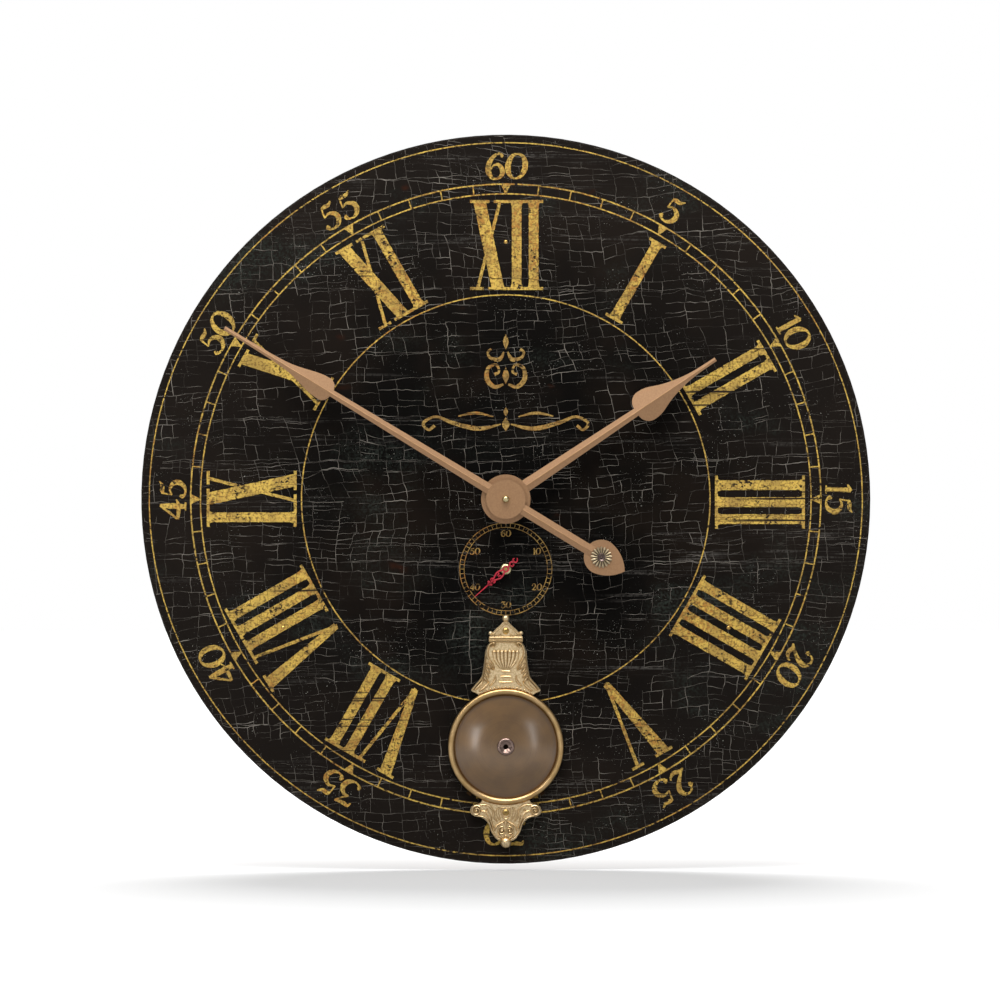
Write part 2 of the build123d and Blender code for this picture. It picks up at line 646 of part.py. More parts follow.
# Flanged centre bush, through the case wall and the dial
with BuildPart() as centre_bush:
    with BuildSketch(half_section(0, 0)):
        Polygon(
            (BUSH_BORE, CASE_INNER_FRONT),
            (BUSH_R, CASE_INNER_FRONT),
            (BUSH_R, CASE_FRONT),
            (BUSH_FLANGE_R, CASE_FRONT),
            (BUSH_FLANGE_R, BOARD_BACK),
            (BUSH_R, BOARD_BACK),
            (BUSH_R, BUSH_END),
            (BUSH_BORE, BUSH_END),
            align=None,
        )
    revolve(axis=arbor_axis(0, 0))
save(centre_bush, "centre_bush")

# Rubber gasket round the flange, between case and dial
with BuildPart() as case_gasket:
    with BuildSketch(facing(0, 0, CASE_FRONT)):
        Circle(BUSH_FLANGE_R + GASKET_WIDTH)
        Circle(BUSH_FLANGE_R, mode=Mode.SUBTRACT)
    extrude(amount=GASKET_T)
save(case_gasket, "case_gasket")

with BuildPart() as bush_washer:
    with BuildSketch(facing(0, 0, FACE_FRONT)):
        Circle(WASHER_R)
        Circle(BUSH_R, mode=Mode.SUBTRACT)
    extrude(amount=WASHER_T)
save(bush_washer, "bush_washer")

with BuildPart() as bush_nut:
    with BuildSketch(facing(0, 0, FACE_FRONT + WASHER_T)):
        RegularPolygon(NUT_FLATS / 2, 6, major_radius=False)
        Circle(BUSH_R, mode=Mode.SUBTRACT)
    extrude(amount=NUT_T)
save(bush_nut, "bush_nut")

# Brass boss of the seconds dial, a bush through dial and case
with BuildPart() as seconds_bush:
    with BuildSketch(half_section(0, -SECONDS_DROP)):
        with BuildLine():
            Polyline(
                (SECONDS_ARBOR_R * 1.6, FACE_FRONT + SECONDS_BOSS_H),
                (SECONDS_BUSH_BORE, FACE_FRONT + SECONDS_BOSS_H),
                (SECONDS_BUSH_BORE, CASE_INNER_FRONT),
                (SECONDS_BUSH_R, CASE_INNER_FRONT),
                (SECONDS_BUSH_R, FACE_FRONT),
                (SECONDS_BOSS_R, FACE_FRONT),
            )
            ThreePointArc(
                (SECONDS_BOSS_R, FACE_FRONT),
                (SECONDS_BOSS_R * 0.8, FACE_FRONT + SECONDS_BOSS_H * 0.7),
                (SECONDS_ARBOR_R * 1.6, FACE_FRONT + SECONDS_BOSS_H),
            )
        make_face()
    revolve(axis=arbor_axis(0, -SECONDS_DROP))
save(seconds_bush, "seconds_bush")

# Minute arbor: from the set knob at the back to the thread of the cap nut
NUT_SEAT = MINUTE_FRONT
with BuildPart() as minute_arbor:
    with BuildSketch(half_section(0, 0)):
        Polygon(
            (0, CASE_STANDOFF - END_SHAKE - KNOB_T),
            (MINUTE_ARBOR_R, CASE_STANDOFF - END_SHAKE - KNOB_T),
            (MINUTE_ARBOR_R, MINUTE_BACK),
            (MINUTE_TENON_R, MINUTE_BACK),
            (MINUTE_TENON_R, NUT_SEAT + CAP_NUT_H / 2),
            (0, NUT_SEAT + CAP_NUT_H / 2),
            align=None,
        )
    revolve(axis=arbor_axis(0, 0))
save(minute_arbor, "minute_arbor")

with BuildPart() as centre_wheel:
    with BuildSketch(facing(0, 0, CENTRE_LEVEL)):
        toothed_disc(CENTRE_TEETH, TRAIN_MODULE, WHEEL_TOOTH_SHARE, -90)
    extrude(amount=WHEEL_T)
    with BuildSketch(facing(0, 0, CENTRE_LEVEL - PINION_OVERLAP)):
        Circle(MINUTE_ARBOR_R + WHEEL_HUB_WALL)
    extrude(amount=WHEEL_T + 2 * PINION_OVERLAP)
    with BuildSketch(facing(0, 0, CENTRE_LEVEL - PINION_OVERLAP)):
        Circle(MINUTE_ARBOR_R)
    extrude(amount=WHEEL_T + 2 * PINION_OVERLAP, mode=Mode.SUBTRACT)
save(centre_wheel, "centre_wheel")

with BuildPart() as cannon_pinion:
    with BuildSketch(facing(0, 0, MOTION_LEVEL - PINION_OVERLAP)):
        toothed_disc(CANNON_TEETH, CANNON_MODULE, PINION_TOOTH_SHARE, 90)
        Circle(MINUTE_ARBOR_R, mode=Mode.SUBTRACT)
    extrude(amount=WHEEL_T + 2 * PINION_OVERLAP)
save(cannon_pinion, "cannon_pinion")

# Set knob on the back end of the minute arbor
with BuildPart() as set_knob:
    with BuildSketch(facing(0, 0, CASE_STANDOFF - END_SHAKE)):
        Circle(KNOB_R)
        Circle(MINUTE_ARBOR_R, mode=Mode.SUBTRACT)
        with PolarLocations(KNOB_R, KNOB_FLUTES):
            Circle(KNOB_FLUTE_R, mode=Mode.SUBTRACT)
    extrude(amount=-KNOB_T)
save(set_knob, "set_knob")


def leaf_half(start, arm_half, leaf_half_width, length):
    """Draw the upper edge of a spade leaf along +Y: heel, swelling body and long blunt tip."""
    body = min(LEAF_BODY, 0.72 * (length - start))
    heel = leaf_half_width * 0.82
    ThreePointArc(
        (arm_half, start),
        (leaf_half_width * 0.80, start + heel * 0.28),
        (leaf_half_width, start + heel),
    )
    Spline(
        (leaf_half_width, start + heel),
        (leaf_half_width * 0.69, start + body * 0.46),
        (leaf_half_width * 0.36, start + body * 0.72),
        (TIP_HALF * 1.35, start + body),
        (TIP_HALF, length),
        tangents=((0, 1), (-0.01, 1)),
    )
    Line((TIP_HALF, length), (0, length))


def roof_section(half_width, height):
    """Draw the two bevels that meet in a hand's central ridge, over a flat back."""
    eave = height - HAND_SLOPE * half_width
    Polygon(
        (-half_width, 0),
        (half_width, 0),
        (half_width, eave),
        (0, height),
        (-half_width, eave),
        align=None,
    )


def along_hand(forward, turn, reach):
    """Plane across a hand at the hub, so that extruding runs out along the hand."""
    out = (sin(radians(turn)), 0, cos(radians(turn)))
    side = (cos(radians(turn)), 0, -sin(radians(turn)))
    start = (-out[0] * reach, -forward, HUB_Z - out[2] * reach)
    return Plane(origin=start, x_dir=side, z_dir=out)


# Minute hand: ridged arm and leaf, flat hub disc and flat counterweight leaf
with BuildPart() as minute_hand:
    with BuildSketch(facing(0, 0, MINUTE_BACK, MINUTE_ANGLE)):
        with BuildLine() as minute_edge:
            Line((0, -TAIL_LEAF_AT), (MINUTE_ARM_HALF, -TAIL_LEAF_AT))
            Line((MINUTE_ARM_HALF, -TAIL_LEAF_AT), (MINUTE_ARM_HALF, 0))
            Line((MINUTE_ARM_HALF, 0), (MINUTE_ARM_END_HALF, MINUTE_LEAF_START))
            leaf_half(MINUTE_LEAF_START, MINUTE_ARM_END_HALF, MINUTE_LEAF_HALF, MINUTE_LENGTH)
            mirror(minute_edge.line, about=Plane.YZ)
        make_face()
    extrude(amount=HAND_T)
    with BuildSketch(along_hand(MINUTE_BACK, MINUTE_ANGLE, TAIL_LENGTH)):
        with Locations(Rotation(0, 0, 180)):
            roof_section(MINUTE_LEAF_HALF * 1.2, HAND_T)
    extrude(amount=TAIL_LENGTH + MINUTE_LENGTH, mode=Mode.INTERSECT)
    with BuildSketch(facing(0, 0, MINUTE_BACK, MINUTE_ANGLE)):
        with BuildLine() as tail_edge:
            tail_joint = (0, -TAIL_LEAF_AT + TAIL_LEAF_R)
            RadiusArc(tail_joint, (TAIL_LEAF_R, -TAIL_LEAF_AT), TAIL_LEAF_R)
            ThreePointArc(
                (TAIL_LEAF_R, -TAIL_LEAF_AT),
                (TAIL_LEAF_R * 0.70, -TAIL_LEAF_AT - TAIL_LEAF_R * 0.86),
                (0, -TAIL_LENGTH),
            )
            mirror(tail_edge.line, about=Plane.YZ)
        make_face()
    extrude(amount=TAIL_T)
    with BuildSketch(facing(0, 0, MINUTE_BACK)):
        Circle(MINUTE_HUB_R)
    extrude(amount=HAND_T)
    with BuildSketch(facing(0, 0, MINUTE_BACK)):
        Circle(MINUTE_TENON_R)
    extrude(amount=HAND_T, mode=Mode.SUBTRACT)
    with BuildSketch(facing(0, 0, MINUTE_BACK + TAIL_T, MINUTE_ANGLE)):
        with Locations((0, -TAIL_LEAF_AT)):
            Circle(ROSETTE_R)
    extrude(amount=HAND_T, mode=Mode.SUBTRACT)
save(minute_hand, "minute_hand")

# Petalled rosette riveted on the counterweight
with BuildPart() as tail_rosette:
    with BuildSketch(facing(0, 0, MINUTE_BACK + TAIL_T, MINUTE_ANGLE)):
        with Locations((0, -TAIL_LEAF_AT)):
            Circle(ROSETTE_R * 0.84)
            with PolarLocations(ROSETTE_R * 0.86, ROSETTE_PETALS):
                Circle(ROSETTE_R * 0.14)
    extrude(amount=ROSETTE_T)
    with BuildSketch(facing(0, 0, MINUTE_BACK + TAIL_T + ROSETTE_T, MINUTE_ANGLE)):
        with Locations((0, -TAIL_LEAF_AT)):
            Circle(ROSETTE_R * 0.62)
            Circle(ROSETTE_EYE_R, mode=Mode.SUBTRACT)
    extrude(amount=-ROSETTE_T / 2, taper=30, mode=Mode.SUBTRACT)
save(tail_rosette, "tail_rosette")

# Domed brass cap nut on the minute arbor
with BuildPart() as cap_nut:
    with BuildSketch(half_section(0, 0)):
        with BuildLine():
            Polyline(
                (0, NUT_SEAT + CAP_NUT_H),
                (0, NUT_SEAT + CAP_NUT_H / 2),
                (MINUTE_TENON_R, NUT_SEAT + CAP_NUT_H / 2),
                (MINUTE_TENON_R, NUT_SEAT),
                (CAP_NUT_R, NUT_SEAT),
                (CAP_NUT_R, NUT_SEAT + CAP_NUT_H / 2),
            )
            dome(CAP_NUT_R, NUT_SEAT + CAP_NUT_H / 2, CAP_NUT_H / 2)
        make_face()
    revolve(axis=arbor_axis(0, 0))
save(cap_nut, "cap_nut")

# Hour wheel with its pipe over the minute arbor
with BuildPart() as hour_wheel:
    with BuildSketch(facing(0, 0, HOUR_LEVEL)):
        toothed_disc(HOUR_TEETH, HOUR_MODULE, WHEEL_TOOTH_SHARE, 90 + 180 / HOUR_TEETH)
    extrude(amount=WHEEL_T)
    with BuildSketch(facing(0, 0, HOUR_LEVEL)):
        Circle(HOUR_PIPE_R)
    extrude(amount=HOUR_FRONT - HOUR_LEVEL)
    with BuildSketch(facing(0, 0, HOUR_LEVEL)):
        Circle(HOUR_PIPE_BORE)
    extrude(amount=HOUR_FRONT - HOUR_LEVEL, mode=Mode.SUBTRACT)
save(hour_wheel, "hour_wheel")

with BuildPart() as hour_hand:
    with BuildSketch(facing(0, 0, HOUR_BACK, HOUR_ANGLE)):
        with BuildLine() as hour_edge:
            Line((0, 0), (HOUR_ARM_HALF, 0))
            Line((HOUR_ARM_HALF, 0), (HOUR_ARM_END_HALF, HOUR_LEAF_START))
            leaf_half(HOUR_LEAF_START, HOUR_ARM_END_HALF, HOUR_LEAF_HALF, HOUR_LENGTH)
            mirror(hour_edge.line, about=Plane.YZ)
        make_face()
    extrude(amount=HAND_T)
    with BuildSketch(along_hand(HOUR_BACK, HOUR_ANGLE, 0)):
        with Locations(Rotation(0, 0, 180)):
            roof_section(HOUR_LEAF_HALF * 1.1, HAND_T)
    extrude(amount=HOUR_LENGTH, mode=Mode.INTERSECT)
    with BuildSketch(facing(0, 0, HOUR_BACK)):
        Circle(HOUR_HUB_R)
    extrude(amount=HAND_T)
    with BuildSketch(facing(0, 0, HOUR_BACK)):
        Circle(HOUR_PIPE_R)
    extrude(amount=HAND_T, mode=Mode.SUBTRACT)
save(hour_hand, "hour_hand")

# Motion wheel and its pinion, one moulding that turns on the stud
with BuildPart() as motion_wheel:
    with BuildSketch(facing(0, MOTION_RISE, MOTION_LEVEL)):
        toothed_disc(MOTION_TEETH, CANNON_MODULE, WHEEL_TOOTH_SHARE, -90 + 180 / MOTION_TEETH)
    extrude(amount=WHEEL_T)
    with BuildSketch(facing(0, MOTION_RISE, MOTION_LEVEL)):
        toothed_disc(MOTION_PINION_TEETH, HOUR_MODULE, PINION_TOOTH_SHARE, -90)
    extrude(amount=HOUR_LEVEL + WHEEL_T + PINION_OVERLAP - MOTION_LEVEL)
    with BuildSketch(facing(0, MOTION_RISE, MOTION_LEVEL)):
        Circle(MOTION_STUD_R + RUN_FIT)
    extrude(amount=HOUR_LEVEL + WHEEL_T + PINION_OVERLAP - MOTION_LEVEL, mode=Mode.SUBTRACT)
save(motion_wheel, "motion_wheel")

# Third arbor between cover and case, with its pinion and wheel
with BuildPart() as third_arbor:
    shoulder_back = COVER_FRONT + END_SHAKE
    shoulder_front = CASE_INNER_FRONT - LEVEL_GAP - END_SHAKE
    with BuildSketch(half_section(0, -THIRD_DROP)):
        Polygon(
            (0, CASE_STANDOFF),
            (THIRD_PIVOT_R, CASE_STANDOFF),
            (THIRD_PIVOT_R, shoulder_back),
            (THIRD_ARBOR_R, shoulder_back),
            (THIRD_ARBOR_R, shoulder_front),
            (THIRD_PIVOT_R, shoulder_front),
            (THIRD_PIVOT_R, CASE_INNER_FRONT - END_SHAKE),
            (0, CASE_INNER_FRONT - END_SHAKE),
            align=None,
        )
    revolve(axis=arbor_axis(0, -THIRD_DROP))
save(third_arbor, "third_arbor")

with BuildPart() as third_pinion:
    with BuildSketch(facing(0, -THIRD_DROP, CENTRE_LEVEL - PINION_OVERLAP)):
        pinion_phase = 90 + 180 / THIRD_PINION_TEETH
        toothed_disc(THIRD_PINION_TEETH, TRAIN_MODULE, PINION_TOOTH_SHARE, pinion_phase)
        Circle(THIRD_ARBOR_R, mode=Mode.SUBTRACT)
    extrude(amount=WHEEL_T + 2 * PINION_OVERLAP)
save(third_pinion, "third_pinion")

with BuildPart() as third_wheel:
    with BuildSketch(facing(0, -THIRD_DROP, THIRD_LEVEL)):
        toothed_disc(THIRD_TEETH, TRAIN_MODULE, WHEEL_TOOTH_SHARE, -90)
    extrude(amount=WHEEL_T)
    with BuildSketch(facing(0, -THIRD_DROP, THIRD_LEVEL)):
        Circle(THIRD_ARBOR_R + WHEEL_HUB_WALL)
    extrude(amount=WHEEL_T + PINION_OVERLAP)
    with BuildSketch(facing(0, -THIRD_DROP, THIRD_LEVEL)):
        Circle(THIRD_ARBOR_R)
    extrude(amount=WHEEL_T + PINION_OVERLAP, mode=Mode.SUBTRACT)
save(third_wheel, "third_wheel")

# Seconds arbor, from the stepper through the bush to the small hand
with BuildPart() as seconds_arbor:
    with BuildSketch(facing(0, -SECONDS_DROP, COVER_FRONT + 2 * END_SHAKE)):
        Circle(SECONDS_ARBOR_R)
    extrude(amount=SECONDS_FRONT + END_SHAKE - COVER_FRONT - 2 * END_SHAKE)
save(seconds_arbor, "seconds_arbor")

with BuildPart() as seconds_pinion:
    with BuildSketch(facing(0, -SECONDS_DROP, THIRD_LEVEL - PINION_OVERLAP)):
        pinion_phase = 90 + 180 / SECONDS_PINION_TEETH
        toothed_disc(SECONDS_PINION_TEETH, TRAIN_MODULE, PINION_TOOTH_SHARE, pinion_phase)
        Circle(SECONDS_ARBOR_R, mode=Mode.SUBTRACT)
    extrude(amount=WHEEL_T + 2 * PINION_OVERLAP)
save(seconds_pinion, "seconds_pinion")

# Seconds hand: a pierced loop behind a needle, with a ring for a tail
LOOP_AT = 9.0
LOOP_HALF = 2.6
LOOP_LENGTH = 9.0
TAIL_RING_HALF = 2.1
NEEDLE_HALF = 0.45
with BuildPart() as seconds_hand:
    with BuildSketch(facing(0, -SECONDS_DROP, SECONDS_BACK, SECONDS_ANGLE)):
        loop_tip = LOOP_AT + LOOP_LENGTH / 2
        tail_ring_at = SECONDS_TAIL - 2 * TAIL_RING_HALF
        with Locations((0, (loop_tip - SECONDS_TAIL) / 2)):
            Rectangle(2 * NEEDLE_HALF, loop_tip + SECONDS_TAIL)
        with Locations((0, LOOP_AT)):
            Ellipse(LOOP_HALF, LOOP_LENGTH / 2)
            Ellipse(LOOP_HALF - 2 * NEEDLE_HALF, LOOP_LENGTH / 2 - 2 * NEEDLE_HALF, mode=Mode.SUBTRACT)
        with Locations((0, -tail_ring_at)):
            Circle(TAIL_RING_HALF)
            Circle(TAIL_RING_HALF - 2 * NEEDLE_HALF, mode=Mode.SUBTRACT)
        with Locations((0, loop_tip + 2 * NEEDLE_HALF)):
            Ellipse(3 * NEEDLE_HALF, 4 * NEEDLE_HALF)
        Polygon(
            (-2 * NEEDLE_HALF, loop_tip),
            (2 * NEEDLE_HALF, loop_tip),
            (NEEDLE_HALF / 2, SECONDS_LENGTH),
            (-NEEDLE_HALF / 2, SECONDS_LENGTH),
            align=None,
        )
        Circle(SECONDS_EYE_R)
        Circle(SECONDS_ARBOR_R, mode=Mode.SUBTRACT)
    extrude(amount=SECONDS_HAND_T)
save(seconds_hand, "seconds_hand")

# Pendulum arm, from the pivot down past the magnet to the post
with BuildPart() as pendulum_arm:
    with BuildSketch(facing(0, 0, ARM_BACK)):
        with BuildLine():
            Polyline(
                (-ARM_HALF_W, -PIVOT_DROP),
                (-ARM_HALF_W, -MAGNET_DROP),
                (-ARM_HALF_W * 0.8, -POST_DROP),
                (ARM_HALF_W * 0.8, -POST_DROP),
                (ARM_HALF_W, -MAGNET_DROP),
                (ARM_HALF_W, -PIVOT_DROP),
                close=True,
            )
        make_face()
        with Locations((0, -PIVOT_DROP)):
            Circle(ARM_HALF_W)
        with Locations((0, -POST_DROP)):
            Circle(ARM_HALF_W * 0.8)
        with Locations((0, -MAGNET_DROP)):
            Circle(MAGNET_R + CASE_WALL)
        with Locations((0, -PIVOT_DROP)):
            Circle(PIVOT_PIN_R + RUN_FIT, mode=Mode.SUBTRACT)
        with Locations((0, -POST_DROP)):
            Circle(POST_SPIGOT_R, mode=Mode.SUBTRACT)
    extrude(amount=ARM_T)
    with BuildSketch(facing(0, -MAGNET_DROP, ARM_BACK)):
        Circle(MAGNET_R)
    extrude(amount=MAGNET_T, mode=Mode.SUBTRACT)
save(pendulum_arm, "pendulum_arm")

with BuildPart() as pendulum_magnet:
    with BuildSketch(facing(0, -MAGNET_DROP, ARM_BACK)):
        Circle(MAGNET_R)
    extrude(amount=MAGNET_T)
save(pendulum_magnet, "pendulum_magnet")

# Hex post that carries the bob through the slot in the dial
POST_BORE_DEPTH = (BOB_BACK - ARM_FRONT) / 2
with BuildPart() as bob_post:
    with BuildSketch(facing(0, -POST_DROP, ARM_FRONT)):
        RegularPolygon(POST_FLATS / 2, 6, major_radius=False)
    extrude(amount=BOB_BACK - ARM_FRONT)
    with BuildSketch(facing(0, -POST_DROP, ARM_BACK)):
        Circle(POST_SPIGOT_R)
    extrude(amount=ARM_T)
    with BuildSketch(facing(0, -POST_DROP, BOB_BACK)):
        Circle(SCREW_SHANK_R)
    extrude(amount=-POST_BORE_DEPTH, mode=Mode.SUBTRACT)
save(bob_post, "bob_post")

# Spine plate behind the bob, with two lugs that show below the bezel
PENDANT_SCREW_AT = BEZEL_BOTTOM_DROP + PENDANT_SCREW_DROP
with BuildPart() as bob_spine:
    with BuildSketch(facing(0, -BOB_DROP, BOB_BACK)):
        Circle(BEZEL_R - BEZEL_WIDTH / 2)
        for lug_side in (-1, 1):
            with Locations(Rotation(0, 0, -90 + lug_side * LUG_ANGLE)):
                with Locations((BEZEL_R + LUG_REACH - LUG_W, 0)):
                    Rectangle(2 * LUG_W, LUG_W)
    extrude(amount=SPINE_T)
    with BuildSketch(facing(0, 0, BOB_BACK)):
        strap_top = -POST_DROP + SCREW_HEAD_R
        strap_bottom = -PENDANT_SCREW_AT - SCREW_HEAD_R
        with Locations((0, (strap_top + strap_bottom) / 2)):
            Rectangle(2 * SCREW_HEAD_R, strap_top - strap_bottom)
        with Locations((0, -BEZEL_TOP_DROP)):
            Rectangle(2 * SPINE_HALF_W, POST_ABOVE_BEZEL)
    extrude(amount=SPINE_T)
    with BuildSketch(facing(0, 0, BOB_BACK)):
        with Locations((0, -POST_DROP), (0, -PENDANT_SCREW_AT)):
            Circle(SCREW_SHANK_R)
    extrude(amount=SPINE_T, mode=Mode.SUBTRACT)
save(bob_spine, "bob_spine")

# Turned bezel ring with a bead round its inner edge
with BuildPart() as bob_bezel:
    with BuildSketch(half_section(0, -BOB_DROP)):
        with BuildLine():
            Polyline(
                (BEZEL_INNER_R, SPINE_FRONT + BEZEL_H * 0.7),
                (BEZEL_INNER_R, SPINE_FRONT),
                (BEZEL_R, SPINE_FRONT),
                (BEZEL_R, SPINE_FRONT + BEZEL_H * 0.55),
            )
            ThreePointArc(
                (BEZEL_R, SPINE_FRONT + BEZEL_H * 0.55),
                (BEZEL_R - BEZEL_WIDTH * 0.42, SPINE_FRONT + BEZEL_H),
                (BEZEL_INNER_R, SPINE_FRONT + BEZEL_H * 0.7),
            )
        make_face()
        with Locations((BEZEL_INNER_R + BEZEL_BEAD_R, SPINE_FRONT + BEZEL_H * 0.7)):
            Circle(BEZEL_BEAD_R)
    revolve(axis=arbor_axis(0, -BOB_DROP))
save(bob_bezel, "bob_bezel")

# Spun dish inside the bezel, a shallow dome of sheet brass
with BuildPart() as bob_dish:
    rim_front = SPINE_FRONT + DISH_RIM
    with BuildSketch(half_section(0, -BOB_DROP)):
        with BuildLine():
            outer = ThreePointArc(
                (BEZEL_INNER_R, rim_front),
                (BEZEL_INNER_R * 0.55, rim_front + DISH_RISE * 0.72),
                (EYELET_SHANK_R, DISH_FRONT),
            )
            inner = ThreePointArc(
                (EYELET_SHANK_R, DISH_FRONT - DISH_T),
                (BEZEL_INNER_R * 0.55, rim_front + DISH_RISE * 0.72 - DISH_T),
                (BEZEL_INNER_R - 4 * DISH_T, SPINE_FRONT),
            )
            Line(outer @ 1, inner @ 0)
            Line(inner @ 1, (BEZEL_INNER_R, SPINE_FRONT))
            Line((BEZEL_INNER_R, SPINE_FRONT), outer @ 0)
        make_face()
    revolve(axis=arbor_axis(0, -BOB_DROP))
save(bob_dish, "bob_dish")

# Cup-shaped eyelet that rivets the dish to the spine
with BuildPart() as bob_eyelet:
    with BuildSketch(half_section(0, -BOB_DROP)):
        with BuildLine():
            Polyline(
                (EYELET_HOLE_R, DISH_FRONT),
                (EYELET_HOLE_R, SPINE_FRONT),
                (EYELET_SHANK_R, SPINE_FRONT),
                (EYELET_SHANK_R, DISH_FRONT),
                (EYELET_R, DISH_FRONT),
            )
            ThreePointArc(
                (EYELET_R, DISH_FRONT),
                (EYELET_R * 0.82, BOB_FRONT),
                (EYELET_R * 0.6, DISH_FRONT + EYELET_H * 0.6),
            )
            Line((EYELET_R * 0.6, DISH_FRONT + EYELET_H * 0.6), (EYELET_HOLE_R, DISH_FRONT))
        make_face()
    revolve(axis=arbor_axis(0, -BOB_DROP))
save(bob_eyelet, "bob_eyelet")

# Crest of the bob: pediment and cornice over a fluted urn, on a flared foot
PLATE_FRONT = SPINE_FRONT + PLATE_RELIEF
CORNICE_TOP = PEDIMENT_FOOT
CORNICE_FOOT = CORNICE_TOP - CORNICE_H
with BuildPart() as bob_crest:
    with BuildSketch(facing(0, -BEZEL_TOP_DROP, SPINE_FRONT)):
        with BuildLine() as crest_edge:
            ThreePointArc(
                (0, CREST_H),
                (PEDIMENT_HALF * 0.45, CREST_H - (CREST_H - PEDIMENT_FOOT) * 0.42),
                (PEDIMENT_HALF, PEDIMENT_FOOT + 2 * SCROLL_BALL_R),
            )
            Polyline(
                (PEDIMENT_HALF, PEDIMENT_FOOT + 2 * SCROLL_BALL_R),
                (PEDIMENT_HALF, CORNICE_TOP),
                (CORNICE_HALF, CORNICE_TOP),
                (CORNICE_HALF, CORNICE_FOOT),
                (PEDIMENT_HALF, CORNICE_FOOT),
            )
            Spline(
                (PEDIMENT_HALF, CORNICE_FOOT),
                (CREST_FOOT_HALF * 0.60, CORNICE_FOOT * 0.78),
                (CREST_FOOT_HALF * 0.665, CORNICE_FOOT * 0.42),
                (CREST_FOOT_HALF * 0.78, CORNICE_FOOT * 0.165),
                (CREST_FOOT_HALF, 0),
                tangents=((0.9, -0.45), (0.9, -0.55)),
            )
            ThreePointArc(
                (CREST_FOOT_HALF, 0),
                (CREST_FOOT_HALF * 1.0, -SCROLL_BALL_R),
                (CREST_FOOT_HALF * 0.95, -1.6 * SCROLL_BALL_R),
            )
            Polyline(
                (CREST_FOOT_HALF * 0.95, -1.6 * SCROLL_BALL_R),
                (CREST_FOOT_HALF * 0.76, -7.5 * SCROLL_BALL_R),
                (0, -7.5 * SCROLL_BALL_R),
            )
            mirror(crest_edge.line, about=Plane.YZ)
        make_face()
        with Locations((0, -BEZEL_R)):
            Circle(BEZEL_R, mode=Mode.SUBTRACT)
    extrude(amount=PLATE_RELIEF)
    # cornice bar
    with BuildSketch(facing(0, -BEZEL_TOP_DROP, PLATE_FRONT)):
        with Locations((0, CORNICE_TOP - CORNICE_H / 2)):
            Rectangle(2 * CORNICE_HALF, CORNICE_H)
    extrude(amount=PLATE_RELIEF / 2)
    # urn with a lip, its flutes parted by grooves that fan out from the neck
    with BuildSketch(facing(0, -BEZEL_TOP_DROP, PLATE_FRONT)):
        with BuildLine() as urn_edge:
            Line((0, URN_TOP), (URN_TOP_HALF, URN_TOP))
            ThreePointArc(
                (URN_TOP_HALF, URN_TOP),
                (URN_TOP_HALF * 0.72, URN_TOP - URN_H * 0.62),
                (URN_NECK_HALF, URN_TOP - URN_H),
            )
            Line((URN_NECK_HALF, URN_TOP - URN_H), (0, URN_TOP - URN_H))
            mirror(urn_edge.line, about=Plane.YZ)
        make_face()
    extrude(amount=PLATE_RELIEF / 2)
    with BuildSketch(facing(0, -BEZEL_TOP_DROP, PLATE_FRONT + PLATE_RELIEF / 2)):
        for groove in range(1, URN_FLUTES):
            fan = 2 * groove / URN_FLUTES - 1
            with BuildLine():
                Polyline(
                    (fan * URN_TOP_HALF - FLUTE_GROOVE_W / 2, URN_TOP - URN_LIP_H),
                    (fan * URN_NECK_HALF, URN_TOP - URN_H),
                    (fan * URN_TOP_HALF + FLUTE_GROOVE_W / 2, URN_TOP - URN_LIP_H),
                    close=True,
                )
            make_face()
    extrude(amount=-FLUTE_DEPTH, mode=Mode.SUBTRACT)
    # steps of the urn's foot
    with BuildSketch(facing(0, -BEZEL_TOP_DROP, PLATE_FRONT)):
        for step in range(URN_FOOT_STEPS):
            with Locations((0, URN_TOP - URN_H - URN_STEP_H - URN_STEP_PITCH * step)):
                Rectangle(2 * (URN_NECK_HALF + URN_STEP_GROWTH * step), URN_STEP_H)
    extrude(amount=PLATE_RELIEF / 2)
    # handles: each runs from a volute under the cornice to the side of the urn
    with BuildSketch(facing(0, -BEZEL_TOP_DROP, PLATE_FRONT)):
        for handle_side in (-1, 1):
            volute_x = handle_side * (PEDIMENT_HALF - 1.5 * VOLUTE_R)
            with BuildLine() as handle:
                Spline(
                    (volute_x, CORNICE_FOOT - 1.5 * VOLUTE_R),
                    (handle_side * (URN_TOP_HALF + 1.6 * HANDLE_W), URN_TOP),
                    (handle_side * URN_TOP_HALF * 0.92, URN_TOP - URN_H * 0.72),
                    (handle_side * URN_TOP_HALF * 0.62, URN_TOP - URN_H),
                )
            trace(handle.line, line_width=HANDLE_W)
            with Locations((volute_x, CORNICE_FOOT - 1.5 * VOLUTE_R)):
                Circle(VOLUTE_R)
    extrude(amount=FOOT_LEAF_H)
    # leaves of the flared foot, each between two arcs
    with BuildSketch(facing(0, -BEZEL_TOP_DROP, PLATE_FRONT)):
        for leaf_side in (-1, 1):
            for root, belly, tip in (
                ((0.50, 0.62), (0.62, 0.26), (0.90, 0.03)),
                ((0.26, 0.40), (0.36, 0.16), (0.60, 0.08)),
            ):
                root_at = (leaf_side * CREST_FOOT_HALF * root[0], CORNICE_FOOT * root[1])
                tip_at = (leaf_side * CREST_FOOT_HALF * tip[0], CORNICE_FOOT * tip[1])
                belly_x = leaf_side * CREST_FOOT_HALF * belly[0]
                belly_up = CORNICE_FOOT * belly[1]
                with BuildLine():
                    ThreePointArc(root_at, (belly_x, belly_up), tip_at)
                    ThreePointArc(root_at, (belly_x - leaf_side * 2 * HANDLE_W, belly_up - HANDLE_W), tip_at)
                make_face()
    extrude(amount=FOOT_LEAF_H)
